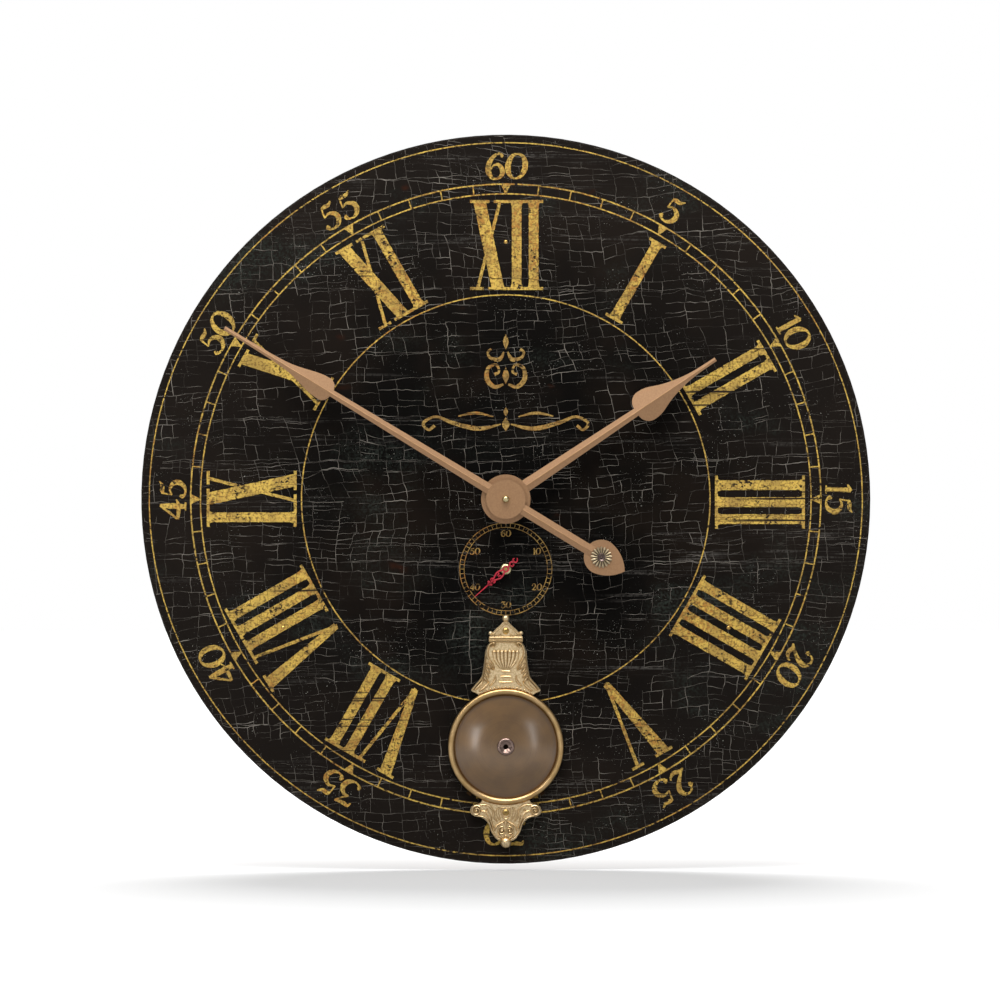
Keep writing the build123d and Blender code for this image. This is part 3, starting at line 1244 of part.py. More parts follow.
    # finial, scroll balls and the row of beads over the bezel
    with Locations(facing(0, -BEZEL_TOP_DROP, PLATE_FRONT).location):
        with Locations((0, CREST_H + FINIAL_R * 0.8, FINIAL_R - PLATE_RELIEF)):
            Sphere(FINIAL_R)
        ball_up = PEDIMENT_FOOT + 2 * SCROLL_BALL_R
        with Locations((-PEDIMENT_HALF, ball_up, 0), (PEDIMENT_HALF, ball_up, 0)):
            Sphere(SCROLL_BALL_R)
        bead_row = BEAD_PITCH_ANGLE * (BEAD_COUNT - 1)
        with Locations((0, -BEZEL_R, 0)):
            bead_ring = BEZEL_R + 1.6 * BEAD_R
            with PolarLocations(bead_ring, BEAD_COUNT, 90 - bead_row / 2, bead_row, endpoint=True):
                Sphere(BEAD_R)
    with BuildSketch(facing(0, -POST_DROP, SPINE_FRONT)):
        Circle(SCREW_SHANK_R)
    extrude(amount=PLATE_RELIEF, mode=Mode.SUBTRACT)
save(bob_crest, "bob_crest")

# Pendant under the bezel: two scrolls, a tapering leaf and a ball
with BuildPart() as bob_pendant:
    with BuildSketch(facing(0, -BEZEL_BOTTOM_DROP, SPINE_FRONT)):
        with BuildLine() as pendant_edge:
            scroll_foot = -PENDANT_SCROLL_DROP - PENDANT_SCROLL_R
            Polyline(
                (0, PENDANT_SCROLL_R),
                (PENDANT_SCROLL_X, PENDANT_SCROLL_R),
                (PENDANT_SCROLL_X, scroll_foot),
            )
            Spline(
                (PENDANT_SCROLL_X, scroll_foot),
                (PENDANT_WAIST_HALF, scroll_foot * 1.45),
                (PENDANT_WAIST_HALF * 0.74, -PENDANT_H * 0.8),
                (PENDANT_BALL_R, -PENDANT_H),
                tangents=((-1, -0.1), (-1, -0.55)),
            )
            Line((PENDANT_BALL_R, -PENDANT_H), (0, -PENDANT_H))
            mirror(pendant_edge.line, about=Plane.YZ)
        make_face()
        with Locations((0, BEZEL_R)):
            Circle(BEZEL_R, mode=Mode.SUBTRACT)
        for scroll_side in (-1, 1):
            with Locations((scroll_side * PENDANT_SCROLL_X, -PENDANT_SCROLL_DROP)):
                Circle(PENDANT_SCROLL_R)
    extrude(amount=PLATE_RELIEF)
    # scroll eyes, the mouldings that run from them to the ball, and a rim round the screw
    with BuildSketch(facing(0, -BEZEL_BOTTOM_DROP, PLATE_FRONT)):
        for scroll_side in (-1, 1):
            eye_x = scroll_side * PENDANT_SCROLL_X
            with Locations((eye_x, -PENDANT_SCROLL_DROP)):
                Circle(PENDANT_SCROLL_R - MOULDING_W / 2)
                Circle(PENDANT_SCROLL_R - 1.5 * MOULDING_W, mode=Mode.SUBTRACT)
                Circle(VOLUTE_R)
            with BuildLine() as moulding:
                Spline(
                    (eye_x, scroll_foot + MOULDING_W),
                    (scroll_side * (PENDANT_WAIST_HALF - MOULDING_W), scroll_foot * 1.3),
                    (scroll_side * (PENDANT_WAIST_HALF * 0.70 - MOULDING_W), -PENDANT_H * 0.78),
                    (scroll_side * MOULDING_W, -PENDANT_H),
                )
            trace(moulding.line, line_width=MOULDING_W)
    extrude(amount=MOULDING_H)
    with BuildSketch(facing(0, -PENDANT_SCREW_AT, PLATE_FRONT)):
        with BuildLine():
            Polyline((-SHIELD_HALF, SHIELD_RISE), (SHIELD_HALF, SHIELD_RISE), (SHIELD_HALF, 0))
            ThreePointArc((SHIELD_HALF, 0), (0, -SHIELD_FALL), (-SHIELD_HALF, 0))
            Line((-SHIELD_HALF, 0), (-SHIELD_HALF, SHIELD_RISE))
        make_face()
        offset(amount=-MOULDING_W / 3, mode=Mode.SUBTRACT)
    extrude(amount=MOULDING_H)
    # palmette of two small balls over the large one
    with Locations(facing(0, -BEZEL_BOTTOM_DROP, PLATE_FRONT).location):
        with Locations((-PALMETTE_BALL_R, -PALMETTE_AT, 0), (PALMETTE_BALL_R, -PALMETTE_AT, 0)):
            Sphere(PALMETTE_BALL_R)
        with Locations((0, -PENDANT_H - PENDANT_BALL_R * 0.55, PENDANT_BALL_R - PLATE_RELIEF)):
            Sphere(PENDANT_BALL_R)
    with BuildSketch(facing(0, -PENDANT_SCREW_AT, SPINE_FRONT)):
        Circle(SCREW_SHANK_R)
    extrude(amount=PLATE_RELIEF, mode=Mode.SUBTRACT)
save(bob_pendant, "bob_pendant")

# Slotted screws: the upper one into the post, the lower one into the spine
SCREW_ENDS = (
    ("top", POST_DROP, BOB_BACK - POST_BORE_DEPTH),
    ("bottom", PENDANT_SCREW_AT, BOB_BACK),
)
for place, drop, screw_end in SCREW_ENDS:
    with BuildPart() as bob_screw:
        with BuildSketch(half_section(0, -drop)):
            with BuildLine():
                Polyline(
                    (0, PLATE_FRONT + SCREW_HEAD_H),
                    (0, screw_end),
                    (SCREW_SHANK_R, screw_end),
                    (SCREW_SHANK_R, PLATE_FRONT),
                    (SCREW_HEAD_R, PLATE_FRONT),
                )
                dome(SCREW_HEAD_R, PLATE_FRONT, SCREW_HEAD_H)
            make_face()
        revolve(axis=arbor_axis(0, -drop))
        with BuildSketch(facing(0, -drop, PLATE_FRONT + SCREW_HEAD_H)):
            Rectangle(2 * SCREW_HEAD_R, SCREW_SLOT_W)
        extrude(amount=-SCREW_HEAD_H / 2, mode=Mode.SUBTRACT)
    save(bob_screw, f"bob_screw_{place}")
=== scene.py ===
"""Looks of the pendulum wall clock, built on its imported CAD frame.

Pieces are drawn in clock millimetres: right of the hub, up from the hub and out from the wall.
"""

import json
import logging
import math
import random
from dataclasses import dataclass, field
from enum import Enum
from typing import Iterator, Sequence, Union

import bpy
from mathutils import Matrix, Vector, noise
from mathutils.bvhtree import BVHTree


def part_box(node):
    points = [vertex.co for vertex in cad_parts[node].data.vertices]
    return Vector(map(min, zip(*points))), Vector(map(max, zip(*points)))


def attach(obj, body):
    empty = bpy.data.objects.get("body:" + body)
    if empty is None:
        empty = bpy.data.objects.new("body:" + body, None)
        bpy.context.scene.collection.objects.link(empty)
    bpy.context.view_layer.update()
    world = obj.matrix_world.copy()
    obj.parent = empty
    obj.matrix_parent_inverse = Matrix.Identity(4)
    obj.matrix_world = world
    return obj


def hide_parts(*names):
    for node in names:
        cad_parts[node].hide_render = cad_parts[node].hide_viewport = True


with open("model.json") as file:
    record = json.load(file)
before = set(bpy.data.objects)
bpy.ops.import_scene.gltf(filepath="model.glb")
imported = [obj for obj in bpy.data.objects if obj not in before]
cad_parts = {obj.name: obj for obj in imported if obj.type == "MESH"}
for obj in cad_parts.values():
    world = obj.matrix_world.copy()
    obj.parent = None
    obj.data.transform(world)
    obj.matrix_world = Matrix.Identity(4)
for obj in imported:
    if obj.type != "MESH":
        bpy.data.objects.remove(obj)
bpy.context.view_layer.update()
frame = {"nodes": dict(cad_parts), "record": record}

LOG = logging.getLogger("wall_clock")
MM = 0.001
NOISE_SEED = 7
# Angle between faces, in degrees, above which an edge of a CAD node or of a piece stays sharp
NODE_CREASE, PIECE_CREASE = 30, 40.0
# Smallest half width of a line and smallest radius of a turned profile, in millimetres
FINEST_HALF, FINEST_RADIUS = 0.02, 0.01
# A worn edge: how fast it wanders along a stroke, and how unlike the stroke's two edges are
WEAR_PACE, WEAR_APART, WEAR_LAYER = 0.7, 9, 3.0
# Where nearly all of a shader's noise lies
CLOUD_LOW, CLOUD_HIGH = 0.3, 0.7
# Straight in at the dial
INWARD = Vector((0, 1, 0))

Pair = tuple[float, float]
Triple = tuple[float, float, float]
# Right, up and half width of a pen's stroke
Nib = Triple
Tree = bpy.types.NodeTree
Socket = bpy.types.NodeSocket
Value = Union[Socket, float, str, tuple, Vector]


def centre_of(node_name: str) -> Vector:
    """Middle of a CAD node's box, in metres."""
    low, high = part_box(node_name)
    return (Vector(low) + Vector(high)) / 2


def front_of(node_name: str) -> float:
    """How far a CAD node stands out from the wall, in millimetres."""
    return -Vector(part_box(node_name)[0]).y / MM


HUB = centre_of("cap_nut")
FACE_OUT = front_of("dial_face")


def place(right: float, up: float, out: float) -> Vector:
    """Turns clock millimetres into a point of the frame, in metres."""
    return Vector((HUB.x + right * MM, -out * MM, HUB.z + up * MM))


def polar(radius: float, degrees: float) -> Pair:
    """A point on the dial, by its radius and its angle clockwise from twelve."""
    turn = math.radians(degrees)
    return radius * math.sin(turn), radius * math.cos(turn)


def sided(path: Sequence[Nib], side: int) -> list[Nib]:
    """A path that is drawn on the right, or its mirror image where side is -1."""
    return [(side * right, up, half) for right, up, half in path]


def smooth(path: Sequence[Nib], step: float, closed: bool = False) -> list[Nib]:
    """Runs a smooth curve through a pen's path.

    Args:
        path: points as right, up and half width.
        step: longest distance between two points of the result.
        closed: whether the last point runs on into the first.

    Returns:
        The points of the curve.
    """
    count = len(path)
    spans = count if closed else count - 1
    result: list[Nib] = []
    for index in range(spans):
        around = [index + k for k in (-1, 0, 1, 2)]
        a, b, c, d = (Vector(path[k % count if closed else min(max(k, 0), count - 1)]) for k in around)
        pieces = max(1, math.ceil((c.xy - b.xy).length / step))
        for piece in range(pieces):
            t = piece / pieces
            bend = (2 * b + (c - a) * t + (2 * a - 5 * b + 4 * c - d) * t**2 + (3 * b - a - 3 * c + d) * t**3) / 2
            result.append((bend.x, bend.y, max(bend.z, FINEST_HALF)))
    if not closed:
        result.append(tuple(path[-1]))
    return result


def spiral(middle: Pair, radii: Pair, start: float, turns: float, halves: Pair) -> list[Nib]:
    """A scroll's path, from its outer end inwards.

    Args:
        middle: the scroll's eye, right and up.
        radii: outer and inner radius.
        start: angle of the outer end, in degrees anticlockwise from the right.
        turns: number of turns, below zero if it winds clockwise.
        halves: half width at the outer and the inner end.

    Returns:
        Points as right, up and half width.
    """
    least, per_turn = 4, 10
    count = max(least, math.ceil(abs(turns) * per_turn))
    path = []
    for k in range(count + 1):
        share = k / count
        radius = radii[0] + (radii[1] - radii[0]) * share
        turn = math.radians(start) + 2 * math.pi * turns * share
        half = halves[0] + (halves[1] - halves[0]) * share
        path.append((middle[0] + radius * math.cos(turn), middle[1] + radius * math.sin(turn), half))
    return path


class Section(Enum):
    """How a ribbon is shaped across: pairs of sideways share and rise share."""

    FLAT = ((-1.0, 0.0), (1.0, 0.0))
    ROUND = tuple((-math.cos(math.pi * k / 6), math.sin(math.pi * k / 6)) for k in range(7))
    BLADE = ((-1.0, 0.0), (-1.0, 0.8), (-0.7, 1.0), (0.7, 1.0), (1.0, 0.8), (1.0, 0.0))


@dataclass
class Shaper:
    """Gathers the points and faces of one piece, in clock millimetres."""

    points: list[Triple] = field(default_factory=list)
    faces: list[tuple[int, ...]] = field(default_factory=list)

    def rows(self, rows: Sequence[Sequence[Triple]], closed: bool = False) -> None:
        """Joins rows of points, each as long as the next, with four-sided faces.

        Args:
            rows: the rows, each running left to right as the viewer sees it.
            closed: whether the last row joins the first.
        """
        start, width = len(self.points), len(rows[0])
        for row in rows:
            self.points.extend(row)
        last = len(rows) if closed else len(rows) - 1
        for index in range(last):
            low, high = start + index * width, start + (index + 1) % len(rows) * width
            for k in range(width - 1):
                self.faces.append((low + k, low + k + 1, high + k + 1, high + k))

    def ribbon(
        self,
        path: Sequence[Nib],
        out: float,
        rise: float = 0.0,
        section: Section = Section.FLAT,
        step: float = 1.5,
        closed: bool = False,
        wear: float = 0.0,
    ) -> None:
        """Draws a pen stroke or a raised moulding along a path.

        Args:
            path: points as right, up and half width.
            out: where its foot stands, out from the wall.
            rise: height of the section above its foot.
            section: shape across the ribbon.
            step: longest distance between points along it.
            closed: whether it runs round into itself.
            wear: how far its edges wander.
        """
        line = smooth(path, step, closed)
        rows = []
        for index, (right, up, half) in enumerate(line):
            before = line[index - 1] if index or closed else line[0]
            after = line[(index + 1) % len(line)] if index + 1 < len(line) or closed else line[-1]
            along = Vector((after[0] - before[0], after[1] - before[1]))
            along = along.normalized() if along.length else Vector((0, 1))
            row = []
            for share, lift in section.value:
                side = half * share
                if wear:
                    spot = Vector((right * WEAR_PACE + share * WEAR_APART, up * WEAR_PACE, WEAR_LAYER))
                    side += wear * noise.noise(spot)
                row.append((right + along.y * side, up - along.x * side, out + rise * lift))
            rows.append(row)
        self.rows(rows, closed)
        if section is not Section.FLAT and not closed:
            first = len(self.points) - len(rows) * len(section.value)
            last = len(self.points) - len(section.value)
            self.faces.append(tuple(range(first + len(section.value) - 1, first - 1, -1)))
            self.faces.append(tuple(range(last, len(self.points))))

    def lathe(self, right: float, up: float, profile: Sequence[Pair], sides: int = 24, ring: bool = False) -> None:
        """Turns a profile about an axis that faces the viewer.

        Args:
            right: place of the axis.
            up: place of the axis.
            profile: radius and distance out, from the rim inwards.
            sides: number of facets round it.
            ring: whether the profile's last point joins its first, round a closed section.
        """
        kept = [(max(radius, FINEST_RADIUS), out) for radius, out in profile[::-1]]
        rows = []
        for k in range(sides):
            turn = 2 * math.pi * k / sides
            rows.append([(right + r * math.cos(turn), up + r * math.sin(turn), out) for r, out in kept])
        start, width = len(self.points), len(profile)
        self.rows(rows, closed=True)
        for k in range(sides if ring else 0):
            low, high = start + k * width, start + (k + 1) % sides * width
            self.faces.append((low + width - 1, low, high, high + width - 1))

    def bead(self, right: float, up: float, radius: float, out: float, height: float) -> None:
        """Sets a rounded bead on a surface that stands at out."""
        bend = [math.pi / 2 * k / 5 for k in range(6)]
        self.lathe(right, up, [(radius * math.cos(t), out + height * math.sin(t)) for t in bend], sides=16)

    def plate(self, edge: Sequence[Pair], back: float, front: float, ease: float) -> None:
        """Cuts a plate with an eased front edge.

        Args:
            edge: outline, anticlockwise as the viewer sees it.
            back: where its back stands.
            front: where its front stands.
            ease: width of the sloped edge at the front.
        """
        count = len(edge)
        inner = []
        for index, (right, up) in enumerate(edge):
            before, after = edge[index - 1], edge[(index + 1) % count]
            along = Vector((after[0] - before[0], after[1] - before[1])).normalized()
            inner.append((right - along.y * ease, up + along.x * ease))
        start = len(self.points)
        for ring, out in ((edge, back), (edge, front - ease), (inner, front)):
            self.points.extend((right, up, out) for right, up in ring)
        for level in (0, 1):
            for k in range(count):
                low, high = start + level * count, start + (level + 1) * count
                self.faces.append((low + k, low + (k + 1) % count, high + (k + 1) % count, high + k))
        self.faces.append(tuple(start + 2 * count + k for k in range(count)))
        self.faces.append(tuple(start + k for k in reversed(range(count))))

    def tree(self) -> BVHTree:
        """A search tree of the faces, in metres."""
        return BVHTree.FromPolygons([place(*point) for point in self.points], self.faces)

    def piece(self, name: str, body: str, finish: "Finish", slot: str, stands_for: Sequence[str] = ()) -> None:
        """Makes the gathered faces into a piece that moves with a body.

        Args:
            name: the piece's name.
            body: CAD body that it rides on.
            finish: its material.
            slot: the record's material slot; not used.
            stands_for: CAD nodes that it replaces.
        """
        mesh = bpy.data.meshes.new(name)
        mesh.from_pydata([place(*point) for point in self.points], [], self.faces)
        mesh.validate()
        mesh.shade_smooth()
        mesh.set_sharp_from_angle(angle=math.radians(PIECE_CREASE))
        mesh.materials.append(finish.material())
        made = bpy.data.objects.new(name, mesh)
        bpy.context.scene.collection.objects.link(made)
        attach(made, body)
        if stands_for:
            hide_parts(*stands_for)
        LOG.info("%s: %d faces on %s", name, len(mesh.polygons), body)


def linear(code: str) -> tuple[float, float, float, float]:
    """Turns an sRGB hex colour into the linear colour that the shaders take."""
    shares = [int(code[k : k + 2], 16) / 255 for k in (1, 3, 5)]
    return tuple(s / 12.92 if s <= 0.04045 else ((s + 0.055) / 1.055) ** 2.4 for s in shares) + (1.0,)


def node(tree: Tree, kind: str, ports: dict[Union[str, int], Value] | None = None, **settings) -> bpy.types.Node:
    """Adds one node with its settings and links.

    Args:
        tree: the tree that gets it.
        kind: Blender's name of the node type, without its ShaderNode prefix.
        ports: input sockets by name or number, each with a value, a hex colour or another node's output.
        settings: properties of the node.

    Returns:
        The new node.
    """
    made = tree.nodes.new("ShaderNode" + kind)
    for key, setting in settings.items():
        setattr(made, key, setting)
    for port, value in (ports or {}).items():
        if isinstance(value, Socket):
            tree.links.new(value, made.inputs[port])
        else:
            made.inputs[port].default_value = linear(value) if isinstance(value, str) else value
    return made


@dataclass(frozen=True)
class Mask:
    """A soft step over a surface: it rises from 0 to end where a measure goes from low to high."""

    measure: Socket
    low: float
    high: float
    end: float = 1.0


@dataclass(frozen=True)
class Finish:
    """A mottled surface: two tones, a roughness that wanders and a fine bump.

    Args:
        name: common name of the material and how its surface was made.
        tone: its main colour.
        shade: the colour that it wanders to.
        grain: size of the mottling in millimetres.
        stretch: how much longer the grain is along right, out and up.
        rough: lowest and highest roughness.
        metal: 1 for bare metal.
        gloss: specular level of a coating or plastic.
        relief: depth of the bump in millimetres.
        recess: painted shade laid in corners and hollows where ambient occlusion finds them, or nothing.
        hollow: how far, in millimetres, a neighbouring surface reaches to lay that painted shade in a corner.
        steep: how much steeper the bevels of a folded sheet catch the light than they lie.
    """

    name: str
    tone: str
    shade: str
    grain: float
    stretch: Triple = (1.0, 1.0, 1.0)
    rough: Pair = (0.4, 0.6)
    metal: float = 0.0
    gloss: float = 0.5
    relief: float = 0.02
    recess: str = ""
    hollow: float = 2.5
    steep: float = 1.0

    def material(self) -> bpy.types.Material:
        """The Blender material of this finish, made on first use."""
        known = bpy.data.materials.get(self.name)
        return known if known else self.make()

    def start(self) -> tuple[bpy.types.Material, Tree, Socket]:
        """Opens an empty material.

        Returns:
            The material, its tree, and object coordinates in millimetres.
        """
        made = bpy.data.materials.new(self.name)
        made.use_nodes = True
        tree = made.node_tree
        tree.nodes.clear()
        where = node(tree, "TexCoord").outputs["Object"]
        return made, tree, node(tree, "VectorMath", {0: where, "Scale": 1 / MM}, operation="SCALE").outputs[0]

    def speckle(
        self,
        tree: Tree,
        where: Socket,
        size: float,
        stretch: Triple = (1, 1, 1),
        shift: float = 0.0,
        detail: float = 4.0,
    ) -> Socket:
        """Cloudy noise with a real size.

        Args:
            tree: the material's tree.
            where: coordinates in millimetres.
            size: width of a cloud in millimetres.
            stretch: how much longer the clouds are along right, out and up.
            shift: moves the pattern, so that two clouds differ.
            detail: how many finer layers it has.

        Returns:
            The noise, around one half.
        """
        shares = tuple(1 / (size * s) for s in stretch)
        ports = {0: where, 1: shares, 2: (shift, shift, shift)}
        scaled = node(tree, "VectorMath", ports, operation="MULTIPLY_ADD").outputs[0]
        return node(tree, "TexNoise", {"Vector": scaled, "Scale": 1.0, "Detail": detail}).outputs["Fac"]

    def reach(self, tree: Tree, where: Socket, middle: Vector) -> Socket:
        """Distance from an axis that faces the viewer.

        Args:
            tree: the material's tree.
            where: coordinates in millimetres.
            middle: a point of the axis, in metres.

        Returns:
            The distance in millimetres.
        """
        off = node(tree, "VectorMath", {0: where, 1: tuple(middle / MM)}, operation="SUBTRACT").outputs[0]
        flat = node(tree, "VectorMath", {0: off, 1: (1, 0, 1)}, operation="MULTIPLY").outputs[0]
        return node(tree, "VectorMath", {0: flat}, operation="LENGTH").outputs["Value"]

    def stain(self, tree: Tree, under: Value, over: Value, *masks: Mask) -> Socket:
        """Lays one colour over another where all masks are high.

        Args:
            tree: the material's tree.
            under: the colour below.
            over: the colour laid on it.
            masks: where it is laid.

        Returns:
            The stained colour.
        """
        share: Value = 1.0
        for mask in masks:
            ports = {"Value": mask.measure, "From Min": mask.low, "From Max": mask.high, "To Max": mask.end}
            step = node(tree, "MapRange", ports, interpolation_type="SMOOTHSTEP").outputs[0]
            if mask is masks[0]:
                share = step
            else:
                share = node(tree, "Math", {0: share, 1: step}, operation="MULTIPLY").outputs[0]
        return node(tree, "Mix", {0: share, 6: under, 7: over}, data_type="RGBA").outputs[2]

    def touch(self, tree: Tree, cloud: Socket, height: Socket) -> dict[str, Value]:
        """How the surface takes the light.

        Args:
            tree: the material's tree.
            cloud: what the roughness wanders with.
            height: bump height, from 0 to 1.

        Returns:
            Roughness, metal and normal for the surface shader.
        """
        worn = {"Value": cloud, "From Min": CLOUD_LOW, "From Max": CLOUD_HIGH}
        worn |= {"To Min": self.rough[0], "To Max": self.rough[1]}
        bump = {"Height": height, "Distance": self.relief * MM, "Strength": 1.0}
        if self.steep > 1.0:
            lie = node(tree, "NewGeometry").outputs["Normal"]
            leant = node(tree, "VectorMath", {0: lie, 1: (self.steep, 1, self.steep)}, operation="MULTIPLY")
            unit = node(tree, "VectorMath", {0: leant.outputs[0]}, operation="NORMALIZE")
            bump["Normal"] = unit.outputs[0]
        return {
            "Roughness": node(tree, "MapRange", worn).outputs[0],
            "Metallic": self.metal,
            "Normal": node(tree, "Bump", bump).outputs[0],
        }

    def close(self, tree: Tree, colour: Socket, cloud: Socket) -> None:
        """Ends the tree in a surface shader.

        Args:
            tree: the material's tree.
            colour: base colour over the surface.
            cloud: what the roughness and the bump wander with.
        """
        ports = {"Base Color": colour, "Specular IOR Level": self.gloss} | self.touch(tree, cloud, cloud)
        if self.metal == 1.0:
            ports["Specular Tint"] = colour
        surface = node(tree, "BsdfPrincipled", ports)
        node(tree, "OutputMaterial", {"Surface": surface.outputs[0]})

    def make(self) -> bpy.types.Material:
        """Builds the material's node tree.

        Returns:
            The material.
        """
        made, tree, where = self.start()
        cloud = self.speckle(tree, where, self.grain, self.stretch)
        colour = self.stain(tree, self.tone, self.shade, Mask(cloud, 0.35, 0.65))
        # Painted shade: a darker colour laid in corners and hollows where ambient occlusion finds them
        if self.recess:
            corner = node(tree, "AmbientOcclusion", {"Distance": self.hollow * MM}, samples=6, only_local=True)
            colour = self.stain(tree, self.recess, colour, Mask(corner.outputs["AO"], 0.25, 0.9))
        self.close(tree, colour, cloud)
        return made


@dataclass(frozen=True)
class CrackledLacquer(Finish):
    """Black lacquer on the dial, printed with planks, knots, dust and worn patches."""

    haze: str = "#2b302b"
    rust: str = "#3d1d0f"
    dust: str = "#c9c6bd"
    scratch: str = "#4b4844"
    faded: str = "#231e1a"
    edge: str = "#4a423b"
    radius: float = 292.0

    def make(self) -> bpy.types.Material:
        """Builds the material's node tree.

        Returns:
            The material.
        """
        made, tree, where = self.start()
        cloud = self.speckle(tree, where, self.grain)
        colour = self.stain(tree, self.tone, self.shade, Mask(cloud, 0.4, 0.68))
        fine = self.speckle(tree, where, 1.6, shift=7.0)
        # The lacquer has faded towards the rim
        reach = self.reach(tree, where, HUB)
        colour = self.stain(tree, colour, self.faded, Mask(reach, 90.0, self.radius, 0.55))
        # Level scratches lie in bands along the joints of the printed planks and break up along their length
        drawn = Mask(self.speckle(tree, where, 1.5, (45, 1, 1), 3.0, 5.0), 0.5, 0.68)
        joint = Mask(self.speckle(tree, where, 13.0, (45, 1, 1), 11.0, 1.0), 0.53, 0.68)
        patch = Mask(self.speckle(tree, where, 60.0, shift=19.0), 0.36, 0.6)
        colour = self.stain(tree, colour, self.scratch, drawn, joint, patch, Mask(fine, 0.3, 0.6))
        # Grey-green bloom lies in a few broad areas and breaks up into grit
        bloom = Mask(self.speckle(tree, where, 85.0, (1.2, 1, 0.7), 23.0, 7.0), 0.54, 0.74)
        colour = self.stain(tree, colour, self.haze, bloom, Mask(fine, 0.38, 0.7))
        # Rusty knots of the printed timber
        knot = Mask(self.speckle(tree, where, 34.0, (1.5, 1, 1), 41.0, 3.0), 0.7, 0.8, 0.8)
        colour = self.stain(tree, colour, self.rust, knot)
        # Dust gathers in loose drifts, grain by grain
        grit = Mask(self.speckle(tree, where, 0.95, shift=57.0, detail=2.0), 0.69, 0.75)
        drift = Mask(self.speckle(tree, where, 38.0, shift=71.0), 0.46, 0.68)
        colour = self.stain(tree, colour, self.dust, grit, drift)
        # The rim is lightly rubbed
        rim = Mask(reach, self.radius - 2.0, self.radius)
        colour = self.stain(tree, colour, self.edge, rim, Mask(fine, 0.46, 0.66))
        self.close(tree, colour, fine)
        return made


@dataclass(frozen=True)
class SpunMetal(Finish):
    """Sheet spun on a lathe: faint rings round its middle under thick clear lacquer.

    Args:
        middle: the piece whose centre the rings go round.
        ring: width of a turned ring in millimetres.
        turned_share: how much of the mottling follows the rings.
        dirty: radii between which painted shade deepens towards the rim, beside the bezel.
        coat: weight of the lacquer.
        coat_rough: its roughness.
        coat_index: its refractive index.
    """

    middle: str = ""
    ring: float = 1.1
    turned_share: float = 0.35
    dirty: Pair = (36.0, 42.0)
    coat: float = 1.0
    coat_rough: float = 0.18
    coat_index: float = 1.8

    def make(self) -> bpy.types.Material:
        """Builds the material's node tree.

        Returns:
            The material.
        """
        made, tree, where = self.start()
        reach = self.reach(tree, where, centre_of(self.middle))
        cloud = self.speckle(tree, where, self.grain)
        turned = self.speckle(tree, node(tree, "CombineXYZ", {0: reach}).outputs[0], self.ring, detail=2.0)
        mottle = node(tree, "Mix", {0: self.turned_share, 2: cloud, 3: turned}, data_type="FLOAT").outputs[0]
        colour = self.stain(tree, self.tone, self.shade, Mask(mottle, 0.36, 0.64))
        # Painted shade deepens towards the rim, where the dish meets the bezel
        colour = self.stain(tree, colour, self.recess, Mask(reach, *self.dirty, 0.7))
        ports = {"Base Color": colour} | self.touch(tree, mottle, turned)
        ports |= {"Coat Weight": self.coat, "Coat Roughness": self.coat_rough, "Coat IOR": self.coat_index}
        ports["Coat Normal"] = ports["Normal"]
        surface = node(tree, "BsdfPrincipled", ports)
        node(tree, "OutputMaterial", {"Surface": surface.outputs[0]})
        return made


@dataclass(frozen=True)
class GiltInk(Finish):
    """Gold ink of the figures, rubbed through and rusty in places."""

    blush: str = "#a0652a"
    grit: str = "#75592a"
    bare: str = "#20140b"

    def make(self) -> bpy.types.Material:
        """Builds the material's node tree.

        Returns:
            The material.
        """
        made, tree, where = self.start()
        cloud = self.speckle(tree, where, self.grain)
        colour = self.stain(tree, self.tone, self.shade, Mask(cloud, 0.38, 0.66))
        # Warm areas, broken up into rusty specks
        warm = Mask(self.speckle(tree, where, 90.0, shift=5.0), 0.44, 0.64)
        specks = Mask(self.speckle(tree, where, 3.5, shift=15.0), 0.45, 0.62, 0.75)
        colour = self.stain(tree, colour, self.blush, warm, specks)
        # Fine grit of the ink, then pits where the ink has come away
        grains = Mask(self.speckle(tree, where, 1.9, shift=65.0, detail=3.0), 0.46, 0.64, 0.85)
        colour = self.stain(tree, colour, self.grit, grains)
        pits = Mask(self.speckle(tree, where, 2.2, (1.5, 1, 1), 25.0, 3.0), 0.55, 0.63)
        pitted = Mask(self.speckle(tree, where, 17.0, shift=35.0), 0.42, 0.6)
        colour = self.stain(tree, colour, self.bare, pits, pitted)
        # Level streaks where it was rubbed through
        streaks = Mask(self.speckle(tree, where, 2.4, (60, 1, 1), 45.0, 4.0), 0.6, 0.68)
        rubbed = Mask(self.speckle(tree, where, 60.0, shift=55.0), 0.4, 0.6)
        colour = self.stain(tree, colour, self.bare, streaks, rubbed)
        self.close(tree, colour, cloud)
        return made


@dataclass(frozen=True)
class PaintedBoard(Finish):
    """Fibreboard that is raw at its back and painted on its rim and front."""

    paint: str = "#17130f"

    def make(self) -> bpy.types.Material:
        """Builds the material's node tree.

        Returns:
            The material.
        """
        made, tree, where = self.start()
        cloud = self.speckle(tree, where, self.grain, self.stretch, detail=7.0)
        raw = self.stain(tree, self.tone, self.shade, Mask(cloud, 0.36, 0.64))
        facing = node(tree, "SeparateXYZ", {0: node(tree, "NewGeometry").outputs["Normal"]}).outputs["Y"]
        colour = self.stain(tree, self.paint, raw, Mask(facing, 0.6, 0.9))
        self.close(tree, colour, cloud)
        return made


# Black lacquer sprayed over print: nearly matt, so its black stays deep under a bright room
LACQUER = CrackledLacquer(
    "crackled_black_lacquer", "#080706", "#16110d", 70.0, rough=(0.55, 0.75), gloss=0.03, relief=0.05
)
# Gold ink: a painted gold without mirror shine, uneven where it was rubbed
GILT = GiltInk("rubbed_gold_ink", "#d1af52", "#aa8c46", 16.0, rough=(0.5, 0.65), gloss=0.2, relief=0.03)
# The seconds dial is printed thinner, so its gold is dull
DULL_GILT = GiltInk("thin_gold_ink", "#a98a4c", "#85693c", 9.0, rough=(0.55, 0.7), gloss=0.15, relief=0.02)
